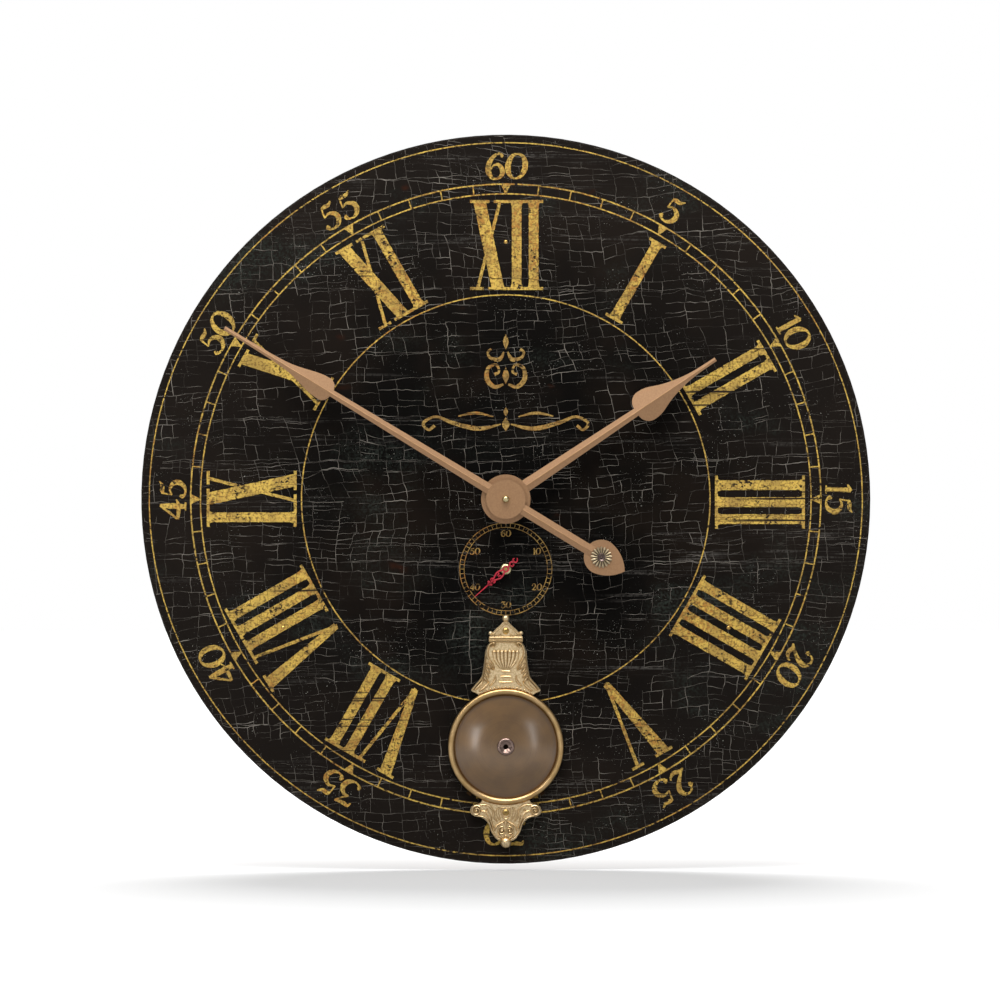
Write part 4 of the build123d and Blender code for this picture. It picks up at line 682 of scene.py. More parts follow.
# Pale ground that shows in the cracks of the lacquer
CRACK = Finish("pale_ground_in_cracks", "#857f77", "#37332f", 13.0, rough=(0.7, 0.85), gloss=0.03)
# The same cracks read dark where they cross gold
DARK_CRACK = Finish("dark_ground_in_gold", "#37240f", "#1c120a", 8.0, rough=(0.7, 0.85), gloss=0.05)
# Medium-density fibreboard: pressed fibres, matt, darker and lighter flecks
BOARD = PaintedBoard("pressed_fibreboard", "#8a6a47", "#6f5336", 1.6, rough=(0.75, 0.9), gloss=0.15, relief=0.05)
# The same board sawn to a ring: its cut rim is a little darker and coarser
RAW_BOARD = PaintedBoard(
    "sawn_fibreboard", "#8d6e4b", "#725739", 1.6, rough=(0.78, 0.92), gloss=0.12, relief=0.06, paint="#7c5f3f"
)
# Zinc-plated steel: pale grey, slightly streaked by tumbling
ZINC = Finish("zinc_plated_steel", "#b4b6b6", "#8f9293", 3.0, rough=(0.28, 0.42), metal=1.0, relief=0.01)
# Turned brass: warm yellow, bright and lightly clouded
TURNED_BRASS = Finish("turned_brass", "#d3ae68", "#b08a46", 2.2, rough=(0.2, 0.34), metal=1.0, relief=0.006)
# Cap nut and seconds bush: paler, burnished
PALE_BRASS = Finish("burnished_pale_brass", "#d5c79c", "#bcae82", 1.5, rough=(0.2, 0.3), metal=1.0, relief=0.004)
# Injection-moulded ABS with a spark-eroded grain
ABS = Finish("moulded_black_abs", "#1b1c1d", "#262728", 0.9, rough=(0.5, 0.66), gloss=0.4, relief=0.03)
# Acetal wheels: milky, smooth
ACETAL = Finish("moulded_acetal", "#e4e1d6", "#d6d2c4", 4.0, rough=(0.32, 0.42), gloss=0.45, relief=0.01)
# Soft black rubber washer
RUBBER = Finish("die_cut_rubber", "#1d1c1b", "#292725", 0.8, rough=(0.8, 0.92), gloss=0.25, relief=0.03)
# Shrink sleeve of the cell: smooth printed film
SLEEVE = Finish("shrink_sleeve", "#2e5b57", "#28504d", 6.0, rough=(0.24, 0.34), gloss=0.5, relief=0.005)
# Green solder mask over glass cloth
SOLDER_MASK = Finish("solder_mask_board", "#1f5a38", "#18492d", 1.2, rough=(0.3, 0.42), gloss=0.5, relief=0.02)
# Enamelled copper wire in close turns
WIRE = Finish(
    "wound_copper_wire", "#b5652f", "#7f431c", 0.5, (8.0, 8.0, 1.0), rough=(0.25, 0.4), metal=1.0, relief=0.05
)
# Hands: copper-tan metallic lacquer, satin with a fine spray grain
COPPER_PAINT = Finish(
    "sprayed_copper_lacquer", "#9e7956", "#967251", 1.3, rough=(0.36, 0.46), metal=0.4, relief=0.006, steep=1.6
)
# Ridge of the hands: a lighter lacquer line that paints the highlight along it
RIDGE_HIGHLIGHT_COPPER = Finish(
    "copper_lacquer_painted_highlight", "#b98f66", "#a98159", 7.0, rough=(0.3, 0.4), metal=0.5, relief=0.004
)
# Stamped rosette: silvered brass, with painted shade in its hollows
ROSETTE = Finish(
    "stamped_silvered_brass", "#bcab8d", "#a39275", 1.8, rough=(0.4, 0.5), metal=0.8, relief=0.01,
    recess="#54473a", hollow=1.2,
)
# Blackened heart of the rosette, with painted shade deepening in its cup
OXIDISED = Finish(
    "oxidised_brass", "#7d6c66", "#5c4e49", 1.2, rough=(0.3, 0.42), metal=1.0, relief=0.01, recess="#241a17"
)
# Enamel of the seconds hand: an even red, satin
RED_ENAMEL = Finish("red_enamel", "#c3263a", "#a51c2e", 3.0, rough=(0.35, 0.5), gloss=0.4, relief=0.01)
# Cast brass ornament: champagne gold, satin, with brown painted shade in its hollows
CAST_BRASS = Finish(
    "sand_cast_brass", "#ead2a8", "#cfb488", 1.4, rough=(0.32, 0.44), metal=1.0, relief=0.03,
    recess="#a88c60", hollow=1.8,
)
# Spun and polished brass ring: even, with soft highlights
POLISHED_BRASS = Finish(
    "spun_polished_brass", "#c9a97a", "#b79766", 9.0, rough=(0.3, 0.34), metal=1.0, relief=0.0
)
# Antique bronze dish: even brown patina over spun metal, with painted shade towards its rim by the bezel
BRONZE = SpunMetal(
    "patinated_spun_bronze", "#78572c", "#694c27", 14.0, rough=(0.34, 0.4), metal=1.0, relief=0.004,
    recess="#5c4229", middle="bob_dish",
)
# Rolled eyelet: coppery nickel, polished
NICKEL = Finish("rolled_nickel_copper", "#957f75", "#857067", 2.0, rough=(0.16, 0.24), metal=1.0, relief=0.004)
# Spine behind the bob: brass painted dark, a painted shade where it shows through the eyelet's hole
SHADED_SPINE_BRASS = Finish("brass_painted_dark_as_shade", "#3d2c1c", "#2c2015", 3.0, rough=(0.5, 0.65), metal=1.0, relief=0.01)
# Slotted screws: yellow brass with painted shade in the slots
SCREW_BRASS = Finish(
    "slotted_screw_brass", "#c4a468", "#a98a50", 1.0, rough=(0.26, 0.36), metal=1.0, relief=0.008,
    recess="#1d140a", hollow=0.9,
)
# Sintered magnet, charcoal and matt
FERRITE = Finish("sintered_ferrite", "#35342f", "#2a2926", 0.7, rough=(0.6, 0.75), gloss=0.3)

BY_SLOT: dict[str, Finish] = {
    "fibreboard": RAW_BOARD, "printed_face": LACQUER, "steel": ZINC, "brass": TURNED_BRASS, "case_plastic": ABS,
    "gear_plastic": ACETAL, "gasket_rubber": RUBBER, "battery_jacket": SLEEVE, "circuit": SOLDER_MASK,
    "copper_wire": WIRE, "hand_paint": COPPER_PAINT, "rosette_brass": ROSETTE, "red_paint": RED_ENAMEL,
    "cast_brass": CAST_BRASS, "polished_brass": POLISHED_BRASS, "antique_bronze": BRONZE, "ferrite": FERRITE,
}
BY_NODE: dict[str, Finish] = {
    "dial_board": BOARD, "cap_nut": PALE_BRASS, "seconds_bush": PALE_BRASS, "bob_eyelet": NICKEL,
    "bob_spine": SHADED_SPINE_BRASS, "bob_screw_top": SCREW_BRASS, "bob_screw_bottom": SCREW_BRASS,
}


def dress_solids() -> None:
    """Gives every CAD node the finish of its material slot, or its own."""
    for row in frame["record"]["subparts"]:
        solid = frame["nodes"][row["node"]]
        finish = BY_NODE.get(row["node"], BY_SLOT[row["material_slot"]])
        solid.data.materials.clear()
        solid.data.materials.append(finish.material())
        solid.data.shade_smooth()
        solid.data.set_sharp_from_angle(angle=math.radians(NODE_CREASE))
        LOG.info("%s: %s", row["node"], finish.name)


class Letter(Enum):
    """Letters of the hour figures, with half the room that each takes."""

    I = 6.8
    V = 16.0
    X = 15.5


# Hour figures from twelve on, and how far each stands to the side of its angle
HOURS: tuple[tuple[str, float], ...] = (
    ("XII", 0.0), ("I", 2.7), ("II", 5.2), ("III", 2.4), ("IIII", 1.3), ("V", 3.0),
    ("VI", 0.0), ("VII", -1.0), ("VIII", -1.0), ("IX", 1.0), ("X", 0.0), ("XI", 2.0),
)


def zero() -> list[Nib]:
    """Pen stroke of the figure 0: a leaning oval that is thick at its sides.

    Returns:
        Points as across, up and half width.
    """
    ring = []
    for k in range(13):
        turn = 2 * math.pi * k / 12
        x, y = 6.9 * math.sin(turn), 9.9 * math.cos(turn)
        ring.append((8.6 + x + 0.10 * y, 10.95 + y, 0.75 + 1.5 * abs(math.sin(turn)) ** 1.5))
    return ring


# Pen strokes of the minute figures as across, up and half width, in millimetres at their drawn height
DRAWN_HEIGHT, DRAWN_MIDDLE = 21.9, 11
DIGITS: dict[str, list[list[Nib]]] = {
    "0": [zero()],
    "1": [
        [(5.2, 0.7, 1.7), (5.4, 8, 1.9), (5.8, 20.5, 1.8)],
        [(6.4, 21.0, 0.9), (3.6, 19.0, 1.1), (1.2, 17.9, 0.5)],
        [(2.0, 0.6, 0.5), (5.2, 0.9, 0.9), (8.8, 0.6, 0.5)],
    ],
    "2": [
        [(3.6, 14.0, 0.5), (2.3, 15.6, 1.9), (3.8, 17.0, 0.9)],
        [(2.4, 16.0, 0.8), (4.4, 20.4, 0.8), (8.6, 21.2, 1.0), (12.2, 17.8, 2.0), (11.6, 12.8, 2.0),
         (7.4, 6.8, 1.3), (2.2, 1.6, 0.7)],
        [(1.6, 1.3, 0.6), (4.6, 2.7, 1.5), (9.8, 1.4, 1.7), (14.0, 3.6, 0.9), (14.6, 5.8, 0.4)],
    ],
    "3": [
        [(2.6, 17.4, 0.5), (3.8, 20.2, 1.3), (9.0, 19.9, 1.5), (15.2, 21.2, 0.6)],
        [(15.0, 20.9, 0.5), (11.0, 16.4, 0.7), (6.8, 13.0, 0.6)],
        [(6.8, 12.9, 0.6), (11.2, 13.0, 1.3), (14.6, 8.6, 2.1), (12.6, 3.2, 1.9), (7.4, 0.7, 0.8),
         (2.4, 2.4, 0.9)],
        [(3.6, 1.4, 0.6), (2.4, 3.4, 1.7), (3.0, 5.2, 0.6)],
    ],
    "4": [
        [(11.4, 21.0, 0.9), (6.0, 13.8, 1.0), (0.9, 7.4, 0.7)],
        [(0.6, 6.9, 0.9), (6.0, 6.3, 1.5), (12.0, 6.4, 1.4), (16.4, 8.0, 0.5)],
        [(11.6, 21.2, 1.0), (11.2, 14.0, 2.1), (10.8, 5.0, 2.1), (10.6, 0.9, 1.6)],
        [(7.6, 0.6, 0.5), (10.8, 0.9, 0.9), (14.0, 0.6, 0.5)],
    ],
    "5": [
        [(4.9, 19.0, 1.0), (7.0, 19.4, 1.7), (11.0, 19.3, 1.4), (14.4, 21.6, 0.4)],
        [(5.0, 20.0, 0.7), (4.2, 15.6, 0.6), (3.6, 11.4, 0.6)],
        [(3.6, 11.6, 0.5), (8.2, 13.2, 1.1), (12.6, 10.4, 1.9), (13.4, 6.4, 2.1), (10.6, 2.0, 1.6),
         (6.0, 0.7, 0.8), (2.0, 2.2, 0.9)],
        [(3.4, 1.4, 0.6), (2.1, 3.4, 1.8), (2.9, 5.4, 0.6)],
    ],
    "6": [
        [(14.0, 19.8, 0.7), (11.2, 20.9, 1.0), (6.6, 18.4, 1.4), (3.0, 12.6, 2.0), (2.8, 6.4, 2.1),
         (5.6, 1.6, 1.4), (9.4, 0.8, 0.8), (13.4, 3.8, 1.7), (13.6, 8.4, 1.9), (10.4, 12.2, 1.3),
         (6.8, 11.4, 0.7), (4.6, 8.6, 0.6)],
        [(13.0, 17.8, 0.5), (13.4, 19.0, 1.3), (14.4, 20.0, 0.6)],
    ],
}


@dataclass
class DialPrint:
    """Gold figures and tracks printed on the face.

    Args:
        level: where the first coat of ink lies, out from the wall.
        coat_gap: distance between one coat and the next.
        coats: number of coats after which the ink is back at its level.
        wear: how far the edges of the ink wander.
        rim_line: radius of the line near the rim.
        track_outer: outer radius of the minute track.
        track_inner: its inner radius.
        hour_outer: radius of the hour figures' heads.
        hour_inner: radius of their feet.
        inner_line: radius of the line inside them.
        figure_foot: radius of the minute figures' feet.
        figure_height: height of the minute figures.
        room: width of a minute figure with the space beside it.
        narrow_room: the same for a 1.
        seconds_drop: how far the seconds dial lies below the hub.
        seconds_outer: outer radius of its track.
        seconds_inner: its inner radius.
        seconds_figures: radius of its figures' middles.
        seconds_size: scale of its figures.
        ink: gathers the bright print.
        thin_ink: gathers the dull print.
        laid: number of strokes so far.
    """

    level: float = FACE_OUT + 0.05
    coat_gap: float = 0.004
    coats: int = 9
    wear: float = 0.35
    rim_line: float = 285.5
    track_outer: float = 252.3
    track_inner: float = 244.5
    hour_outer: float = 239.5
    hour_inner: float = 167.5
    inner_line: float = 163.6
    figure_foot: float = 255.8
    figure_height: float = 21.9
    room: float = 16.6
    narrow_room: float = 9.6
    seconds_drop: float = 56.0
    seconds_outer: float = 36.9
    seconds_inner: float = 33.4
    seconds_figures: float = 28.6
    seconds_size: float = 0.245
    ink: Shaper = field(default_factory=Shaper)
    thin_ink: Shaper = field(default_factory=Shaper)
    laid: int = 0

    def coat(self) -> float:
        """Where the next stroke lies: a hair off the last one, so that crossings stay clean."""
        self.laid += 1
        return self.level + self.coat_gap * (self.laid % self.coats)

    def circle(self, ink: Shaper, radius: float, half: float, up: float = 0.0) -> None:
        """Draws a printed circle.

        Args:
            ink: where it is gathered.
            radius: its radius.
            half: half the width of its line.
            up: how far its middle lies above the hub.
        """
        path = []
        for degrees in range(0, 360, 15):
            right, rise = polar(radius, degrees)
            path.append((right, up + rise, half))
        ink.ribbon(path, self.coat(), step=2.5, closed=True, wear=self.wear * 0.5)

    def stroke(self, ink: Shaper, path: Sequence[Nib], degrees: float, radius: float, size: float = 1.0) -> None:
        """Draws a pen stroke that stands along the radius.

        Args:
            ink: where it is gathered.
            path: across, up and half width, from the foot of the figure.
            degrees: the figure's angle.
            radius: where the foot of the figure stands.
            size: scale of the figure.
        """
        along, across = Vector(polar(1.0, degrees)), Vector(polar(1.0, degrees + 90))
        line = []
        for side, rise, half in path:
            point = along * (radius + rise * size) + across * (side * size)
            line.append((point.x, point.y, half * size))
        ink.ribbon(line, self.coat(), step=1.6, wear=self.wear)

    def hours(self) -> None:
        """Prints the twelve hour figures, with joined serifs."""
        tall = self.hour_outer - self.hour_inner
        for hour, (name, drift) in enumerate(HOURS):
            letters = [Letter[c] for c in name]
            at = drift - sum(letter.value for letter in letters)
            for letter in letters:
                at += letter.value
                for path in self.letter(letter, at, tall):
                    self.stroke(self.ink, path, 30 * hour, self.hour_inner)
                at += letter.value

    def letter(self, letter: Letter, at: float, tall: float) -> Iterator[list[Nib]]:
        """Strokes of one letter of an hour figure.

        Args:
            letter: which letter.
            at: where its middle stands across the figure.
            tall: height of the figure.

        Yields:
            Strokes as across, up and half width.
        """
        serif, stem, thick, hair = 1.15, 3.9, 4.9, 1.25
        head = tall - serif
        strokes: list[tuple[Pair, Pair, float]] = []
        if letter is Letter.I:
            strokes = [((0, 0), (0, tall), stem), ((-7.6, serif), (7.6, serif), serif)]
            strokes.append(((-7.6, head), (7.6, head), serif))
        elif letter is Letter.V:
            strokes = [((1.5, 1.0), (-11.5, tall - 1), thick), ((1.2, 0), (12.5, tall - 1), hair)]
            strokes += [((-19, head), (-4, head), serif), ((7, head), (17.5, head), serif)]
        else:
            strokes = [((7.5, 1), (-7.5, tall - 1), thick), ((-9, 1), (9, tall - 1), hair)]
            for side, foot in ((-1, 4.0), (1, -0.5)):
                strokes.append(((side * 15.0, serif), (side * foot, serif), serif))
                strokes.append(((-side * 15.0, head), (-side * foot, head), serif))
        for (x0, y0), (x1, y1), half in strokes:
            taper = 0.55 if letter is Letter.V and half == thick else 1.0
            yield [
                (at + x0 + (x1 - x0) * k / 3, y0 + (y1 - y0) * k / 3, half * (taper + (1 - taper) * k / 3))
                for k in range(4)
            ]
        # Brackets in the corners between an I and its serifs
        for side in (-1, 1) if letter is Letter.I else ():
            for foot, way in ((serif, 1), (head, -1)):
                corner, end = at + side * (stem - 0.4), at + side * (stem - 0.2)
                yield [(corner, foot, 1.6), (end, foot + way * 4.0, 0.2)]

    def figure(
        self, ink: Shaper, text: str, degrees: float, radius: float, size: float, upright: bool = False
    ) -> None:
        """Prints a number.

        Args:
            ink: where it is gathered.
            text: the number.
            degrees: its angle on its track.
            radius: radius of its foot, or of its middle if it is upright.
            size: scale from the drawn height.
            upright: whether it stands level on the seconds dial instead of along the radius.
        """
        wide = [self.narrow_room if character == "1" else self.room for character in text]
        at = -sum(wide) / 2
        middle, level = polar(radius, degrees)
        level -= self.seconds_drop
        for character, width in zip(text, wide):
            for path in DIGITS[character]:
                if upright:
                    line = [
                        (middle + (at + x) * size, level + (y - DRAWN_MIDDLE) * size, half * size)
                        for x, y, half in path
                    ]
                    ink.ribbon(line, self.coat(), step=0.5, wear=self.wear * 0.2)
                else:
                    self.stroke(ink, [(at + x, y, half) for x, y, half in path], degrees, radius, size)
            at += width

    def tracks(self) -> None:
        """Prints the circles, the minute ticks and the five-minute darts."""
        for radius, half in (
            (self.rim_line, 0.46), (self.track_outer, 0.56), (self.track_inner, 0.5), (self.inner_line, 0.47)
        ):
            self.circle(self.ink, radius, half)
        deep = self.track_outer - self.track_inner
        tick = [(0, 0, 0.5), (0, deep, 0.5)]
        dart = [(0, -0.5, 0.3), (0, deep * 0.5, 2.2), (0, deep, 4.1)]
        for minute in range(60):
            self.stroke(self.ink, tick if minute % 5 else dart, 6 * minute, self.track_inner)

    def seconds_dial(self) -> None:
        """Prints the small seconds track and its figures."""
        for radius, half in ((self.seconds_outer, 0.29), (self.seconds_inner, 0.25)):
            self.circle(self.thin_ink, radius, half, -self.seconds_drop)
        for second in range(60):
            ends = [polar(radius, 6 * second) for radius in (self.seconds_inner, self.seconds_outer)]
            path = [(right, up - self.seconds_drop, 0.22) for right, up in ends]
            self.thin_ink.ribbon(path, self.coat(), step=1.0)
        for text in ("60", "10", "20", "30", "40", "50"):
            self.figure(self.thin_ink, text, int(text) * 6, self.seconds_figures, self.seconds_size, upright=True)

    def flourish(self) -> None:
        """Prints a plain scroll ornament above the hub, the same on both sides."""
        scrolls: list[list[Nib]] = [
            [(2, 92, 0.8), (9, 90, 1.6), (15, 96, 1.9), (14, 105, 1.4), (7.5, 107.5, 1.0), (5.5, 102, 0.9),
             (9, 100, 1.3)],
            [(1.5, 118, 0.6), (5, 112, 1.6), (12, 113, 1.2), (14.5, 117.5, 0.9), (11.5, 120, 1.2)],
            [(4, 60, 0.5), (22, 56.5, 1.7), (42, 61, 1.5), (56, 66, 1.0), (66, 61, 1.2), (62, 55.5, 1.0),
             (57, 59, 1.2)],
            [(10, 66, 0.4), (24, 69, 1.1), (38, 66.5, 0.5)],
        ]
        for side in (-1, 1):
            for path in scrolls:
                self.thin_ink.ribbon(sided(path, side), self.coat(), step=1.0, wear=0.25)
        for up, tall, half in ((126, 6, 2.2), (99, 6.5, 2.6), (60, 5.5, 3.0), (70, 3.5, 1.8)):
            lozenge = [(0, up - tall, 0.1), (0, up, half), (0, up + tall, 0.1)]
            self.thin_ink.ribbon(lozenge, self.coat(), step=0.8, wear=0.2)

    def build(self) -> None:
        """Prints everything and makes the two pieces."""
        self.tracks()
        self.hours()
        for minute in range(5, 65, 5):
            self.figure(self.ink, str(minute), 6 * minute, self.figure_foot, self.figure_height / DRAWN_HEIGHT)
        self.seconds_dial()
        self.flourish()
        self.ink.piece("gold_figures", "frame", GILT, "printed_face")
        self.thin_ink.piece("thin_gold_figures", "frame", DULL_GILT, "printed_face")


@dataclass
class CrackNet:
    """Net of fine cracks in the lacquer: each crack ends on an older one.

    Args:
        reach: radius beyond which there are no cracks.
        spread: half the side of the square that is split.
        cell: smallest and largest area of an uncracked cell, in square millimetres.
        calm: pitch and layer of the slow change from small to large cells.
        long_cell: how much wider than tall a cell is before it cracks across.
        split: where along a side a crack may start.
        lean: where along the other side it may end.
        slant: spread of a crack's lean.
        half: least and greatest half width.
        step: distance between points along a crack.
        closed: strength below which a crack is closed.
        wander: waves that bend the cracks, each as pitch, layer, swing to the right and swing up.
        seams: heights of the joints between the printed planks.
        seam_half: half the length of a joint.
        lift: how far the cracks lie off the face.
        ink_lift: the same where they cross the figures.
        chance: draws the random numbers.
    """

    reach: float = 291.0
    spread: float = 305.0
    cell: Pair = (70.0, 330.0)
    calm: Pair = (70.0, 8.0)
    long_cell: float = 1.5
    split: Pair = (0.3, 0.7)
    lean: Pair = (0.2, 0.8)
    slant: float = 0.07
    half: Pair = (0.08, 0.27)
    step: float = 1.8
    closed: float = -0.36
    wander: tuple[tuple[float, ...], ...] = ((46, 1.5, 2.6, 2.2), (17, 9.5, 1.9, 1.7), (5, 5.5, 1.0, 0.9))
    seams: tuple[float, ...] = (258, 212, 168, 118, 63, 31, 21, -36, -50, -96, -140, -181, -226)
    seam_half: float = 300.0
    lift: float = 0.02
    ink_lift: float = 0.1
    chance: random.Random = field(default_factory=lambda: random.Random(7))

    def bend(self, right: float, up: float) -> Pair:
        """Moves a point with the slow and fine wander of the lacquer.

        Args:
            right: where it was.
            up: where it was.

        Returns:
            Where it is then.
        """
        x, y = right, up
        for pitch, layer, swing, rise in self.wander:
            wave = noise.noise_vector(Vector((right / pitch, up / pitch, layer)))
            x, y = x + swing * wave.x, y + rise * wave.y
        return x, y

    def cracks(self, corners: Sequence[Vector], depth: int = 0) -> Iterator[tuple[Vector, Vector, int]]:
        """Splits a field of lacquer until its cells are small.

        Args:
            corners: lower left, lower right, upper right and upper left corner.
            depth: how many cracks are older than this one.

        Yields:
            Both ends of each crack and its depth.
        """
        a, b, c, d = corners
        wide, tall = (b - a + c - d).length / 2, (d - a + c - b).length / 2
        middle = (a + b + c + d) / 4
        pitch, layer = self.calm
        calm = 0.5 + 0.7 * noise.noise(Vector((middle.x / pitch, middle.y / pitch, layer)))
        if wide * tall < self.cell[0] + (self.cell[1] - self.cell[0]) * calm * self.chance.uniform(0.4, 1.4):
            return
        share = self.chance.uniform(*self.split)
        leant = share + self.chance.gauss(0.0, self.slant) * min(1.0, tall / wide)
        other = min(self.lean[1], max(self.lean[0], leant))
        if wide > self.long_cell * tall * self.chance.uniform(0.7, 1.4):
            low, high = a.lerp(b, share), d.lerp(c, other)
            halves = ((a, low, high, d), (low, b, c, high))
        else:
            low, high = a.lerp(d, share), b.lerp(c, other)
            halves = ((a, b, high, low), (low, high, c, d))
        yield low, high, depth
        for half in halves:
            yield from self.cracks(half, depth + 1)

    def lines(self) -> Iterator[tuple[Vector, Vector, float]]:
        """Straight courses of all cracks and plank joints.

        Yields:
            Both ends of each and its weight.
        """
        side, oldest = self.spread, 7
        corners = [Vector(pair) for pair in ((-side, -side), (side, -side), (side, side), (-side, side))]
        for start, end, depth in self.cracks(corners):
            yield start, end, self.chance.uniform(0.45, 1.0) ** 1.5 * (1.25 if depth < oldest else 1.0)
        for up in self.seams:
            tilt = self.chance.uniform(-5, 5)
            ends = Vector((-self.seam_half, up - tilt)), Vector((self.seam_half, up + tilt))
            yield *ends, self.chance.uniform(0.4, 0.75)

    def lacquer(self) -> BVHTree:
        """The printed face with its holes for the bushes and the pendulum's post.

        Returns:
            A search tree to cast rays at.
        """
        face = frame["nodes"]["dial_face"]
        points = [face.matrix_world @ corner.co for corner in face.data.vertices]
        return BVHTree.FromPolygons(points, [tuple(polygon.vertices) for polygon in face.data.polygons])

    def runs(self) -> Iterator[list[Nib]]:
        """Unbroken runs of crack on the dial.

        Yields:
            Points as right, up and half width.
        """
        lacquer = self.lacquer()
        for start, end, weight in self.lines():
            count = max(2, math.ceil((end - start).length / self.step))
            run: list[Nib] = []
            for k in range(count + 1):
                right, up = self.bend(*start.lerp(end, k / count))
                strong = noise.noise(Vector((right / 19, up / 19, 2.0)))
                held = lacquer.ray_cast(place(right, up, FACE_OUT + 1), INWARD, 1.5 * MM)[0]
                if held and strong > self.closed and math.hypot(right, up) < self.reach:
                    uneven = 0.35 + 1.1 * strong + 0.35 * noise.noise(Vector((right / 3, up / 3, 4.0)))
                    half = self.half[0] + (self.half[1] - self.half[0]) * min(1.0, max(0.0, uneven))
                    run.append((right, up, half * weight))
                    continue
                if len(run) > 1:
                    yield run
                run = []
            if len(run) > 1:
                yield run

    def build(self, ink: Sequence[Shaper]) -> None:
        """Lays the cracks on the face, and again in a darker tone over the figures.

        Args:
            ink: the printed figures.
        """
        pale, dark = Shaper(), Shaper()
        trees = [shaper.tree() for shaper in ink]
        unbent = 9.0
        for run in self.runs():
            pale.ribbon(run, FACE_OUT + self.lift, step=unbent)
            for a, b in zip(run, run[1:]):
                above = place((a[0] + b[0]) / 2, (a[1] + b[1]) / 2, FACE_OUT + 2)
                if any(tree.ray_cast(above, INWARD, 10 * MM)[0] for tree in trees):
                    thinner = [(x, up, half * 0.9) for x, up, half in (a, b)]
                    dark.ribbon(thinner, FACE_OUT + self.ink_lift, step=unbent)
        pale.piece("lacquer_cracks", "frame", CRACK, "printed_face")
        dark.piece("figure_cracks", "frame", DARK_CRACK, "printed_face")


@dataclass
class SecondsHand:
    """Pierced scroll hand of the seconds dial."""

    angle: float = 228.3
    length: float = 33.5
    eye: float = 2.7
    thick: float = 0.7

    def build(self) -> None:
        """Cuts the hand and makes the piece."""
        shape = Shaper()
        back = -Vector(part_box("seconds_hand")[1]).y / MM
        middle = centre_of("seconds_arbor")
        home = ((middle.x - HUB.x) / MM, (middle.z - HUB.z) / MM)
        along, across = Vector(polar(1, self.angle)), Vector(polar(1, self.angle + 90))
        strokes: list[list[Nib]] = [
            [(0, 14.0, 0.55), (0, 20, 0.5), (0, self.length, 0.24)],
            [(0, 15.6, 0.2), (0, 17.6, 1.6), (0, 19.6, 0.2)],
            [(0, -2.2, 0.9), (0, -4.0, 0.6), (1.5, -6.0, 0.6), (0.4, -8.6, 0.7), (-1.4, -9.6, 0.5),
             (-1.2, -11.2, 0.4), (0.6, -12.8, 0.35)],
            [(0.3, -4.6, 0.4), (-1.9, -5.4, 0.5), (-1.7, -7.2, 0.4), (-0.7, -6.8, 0.4)],
            [(0.4, -8.6, 0.4), (2.2, -9.8, 0.5), (1.6, -11.0, 0.4)],
        ]
        pairs: list[list[Nib]] = [
            [(0.9, 2.2, 0.8), (2.3, 4.8, 0.6), (2.6, 8.0, 0.55), (1.2, 11.5, 0.6), (0, 14.4, 0.6)],
            [(2.4, 7.0, 0.4), (1.1, 6.4, 0.5), (0.6, 7.8, 0.45), (1.3, 8.6, 0.35)],
            [(0, 13.2, 0.4), (1.8, 13.0, 0.5), (2.0, 14.4, 0.4), (1.1, 14.8, 0.35)],
            [(0, 17.2, 0.4), (1.9, 16.6, 0.5), (1.8, 17.8, 0.3)],
        ]
        strokes += [sided(path, side) for side in (-1, 1) for path in pairs]
        for path in strokes:
            line = []
            for side, rise, half in path:
                point = along * rise + across * side
                line.append((home[0] + point.x, home[1] + point.y, half))
            shape.ribbon(line, back, self.thick, Section.BLADE, step=0.5)
        ring = []
        for degrees in range(0, 360, 30):
            right, up = polar(self.eye - 0.6, degrees)
            ring.append((home[0] + right, home[1] + up, 0.7))
        shape.ribbon(ring, back, self.thick, Section.BLADE, step=0.6, closed=True)
        shape.piece("scroll_seconds_hand", "seconds", RED_ENAMEL, "red_paint", ("seconds_hand",))


@dataclass
class HandRidge:
    """Painted highlight along the ridge of a hand, where the two bevels meet: a lighter lacquer line.

    Args:
        hand: the hand's CAD node.
        body: the body that it rides on.
        angle: where it points, in degrees clockwise from twelve.
        runs: start and end of each part of the line, from the hub.
        half: half its width.
        sunk: how far its foot lies in the hand.
        rise: its height from there.
    """

    hand: str
    body: str
    angle: float
    runs: tuple[Pair, ...]
    half: float = 0.42
    sunk: float = 0.1
    rise: float = 0.13

    def build(self) -> None:
        """Lays the painted highlight along the ridge and makes the piece."""
        shape = Shaper()
        for start, end in self.runs:
            line = []
            for share, width in ((0.0, 0.6), (0.1, 1.0), (0.5, 1.0), (0.9, 0.8), (1.0, 0.3)):
                right, up = polar(start + (end - start) * share, self.angle)
                line.append((right, up, self.half * width))
            shape.ribbon(line, front_of(self.hand) - self.sunk, self.rise, Section.ROUND, step=12.0)
        shape.piece(self.hand + "_ridge_highlight", self.body, RIDGE_HIGHLIGHT_COPPER, "hand_paint")


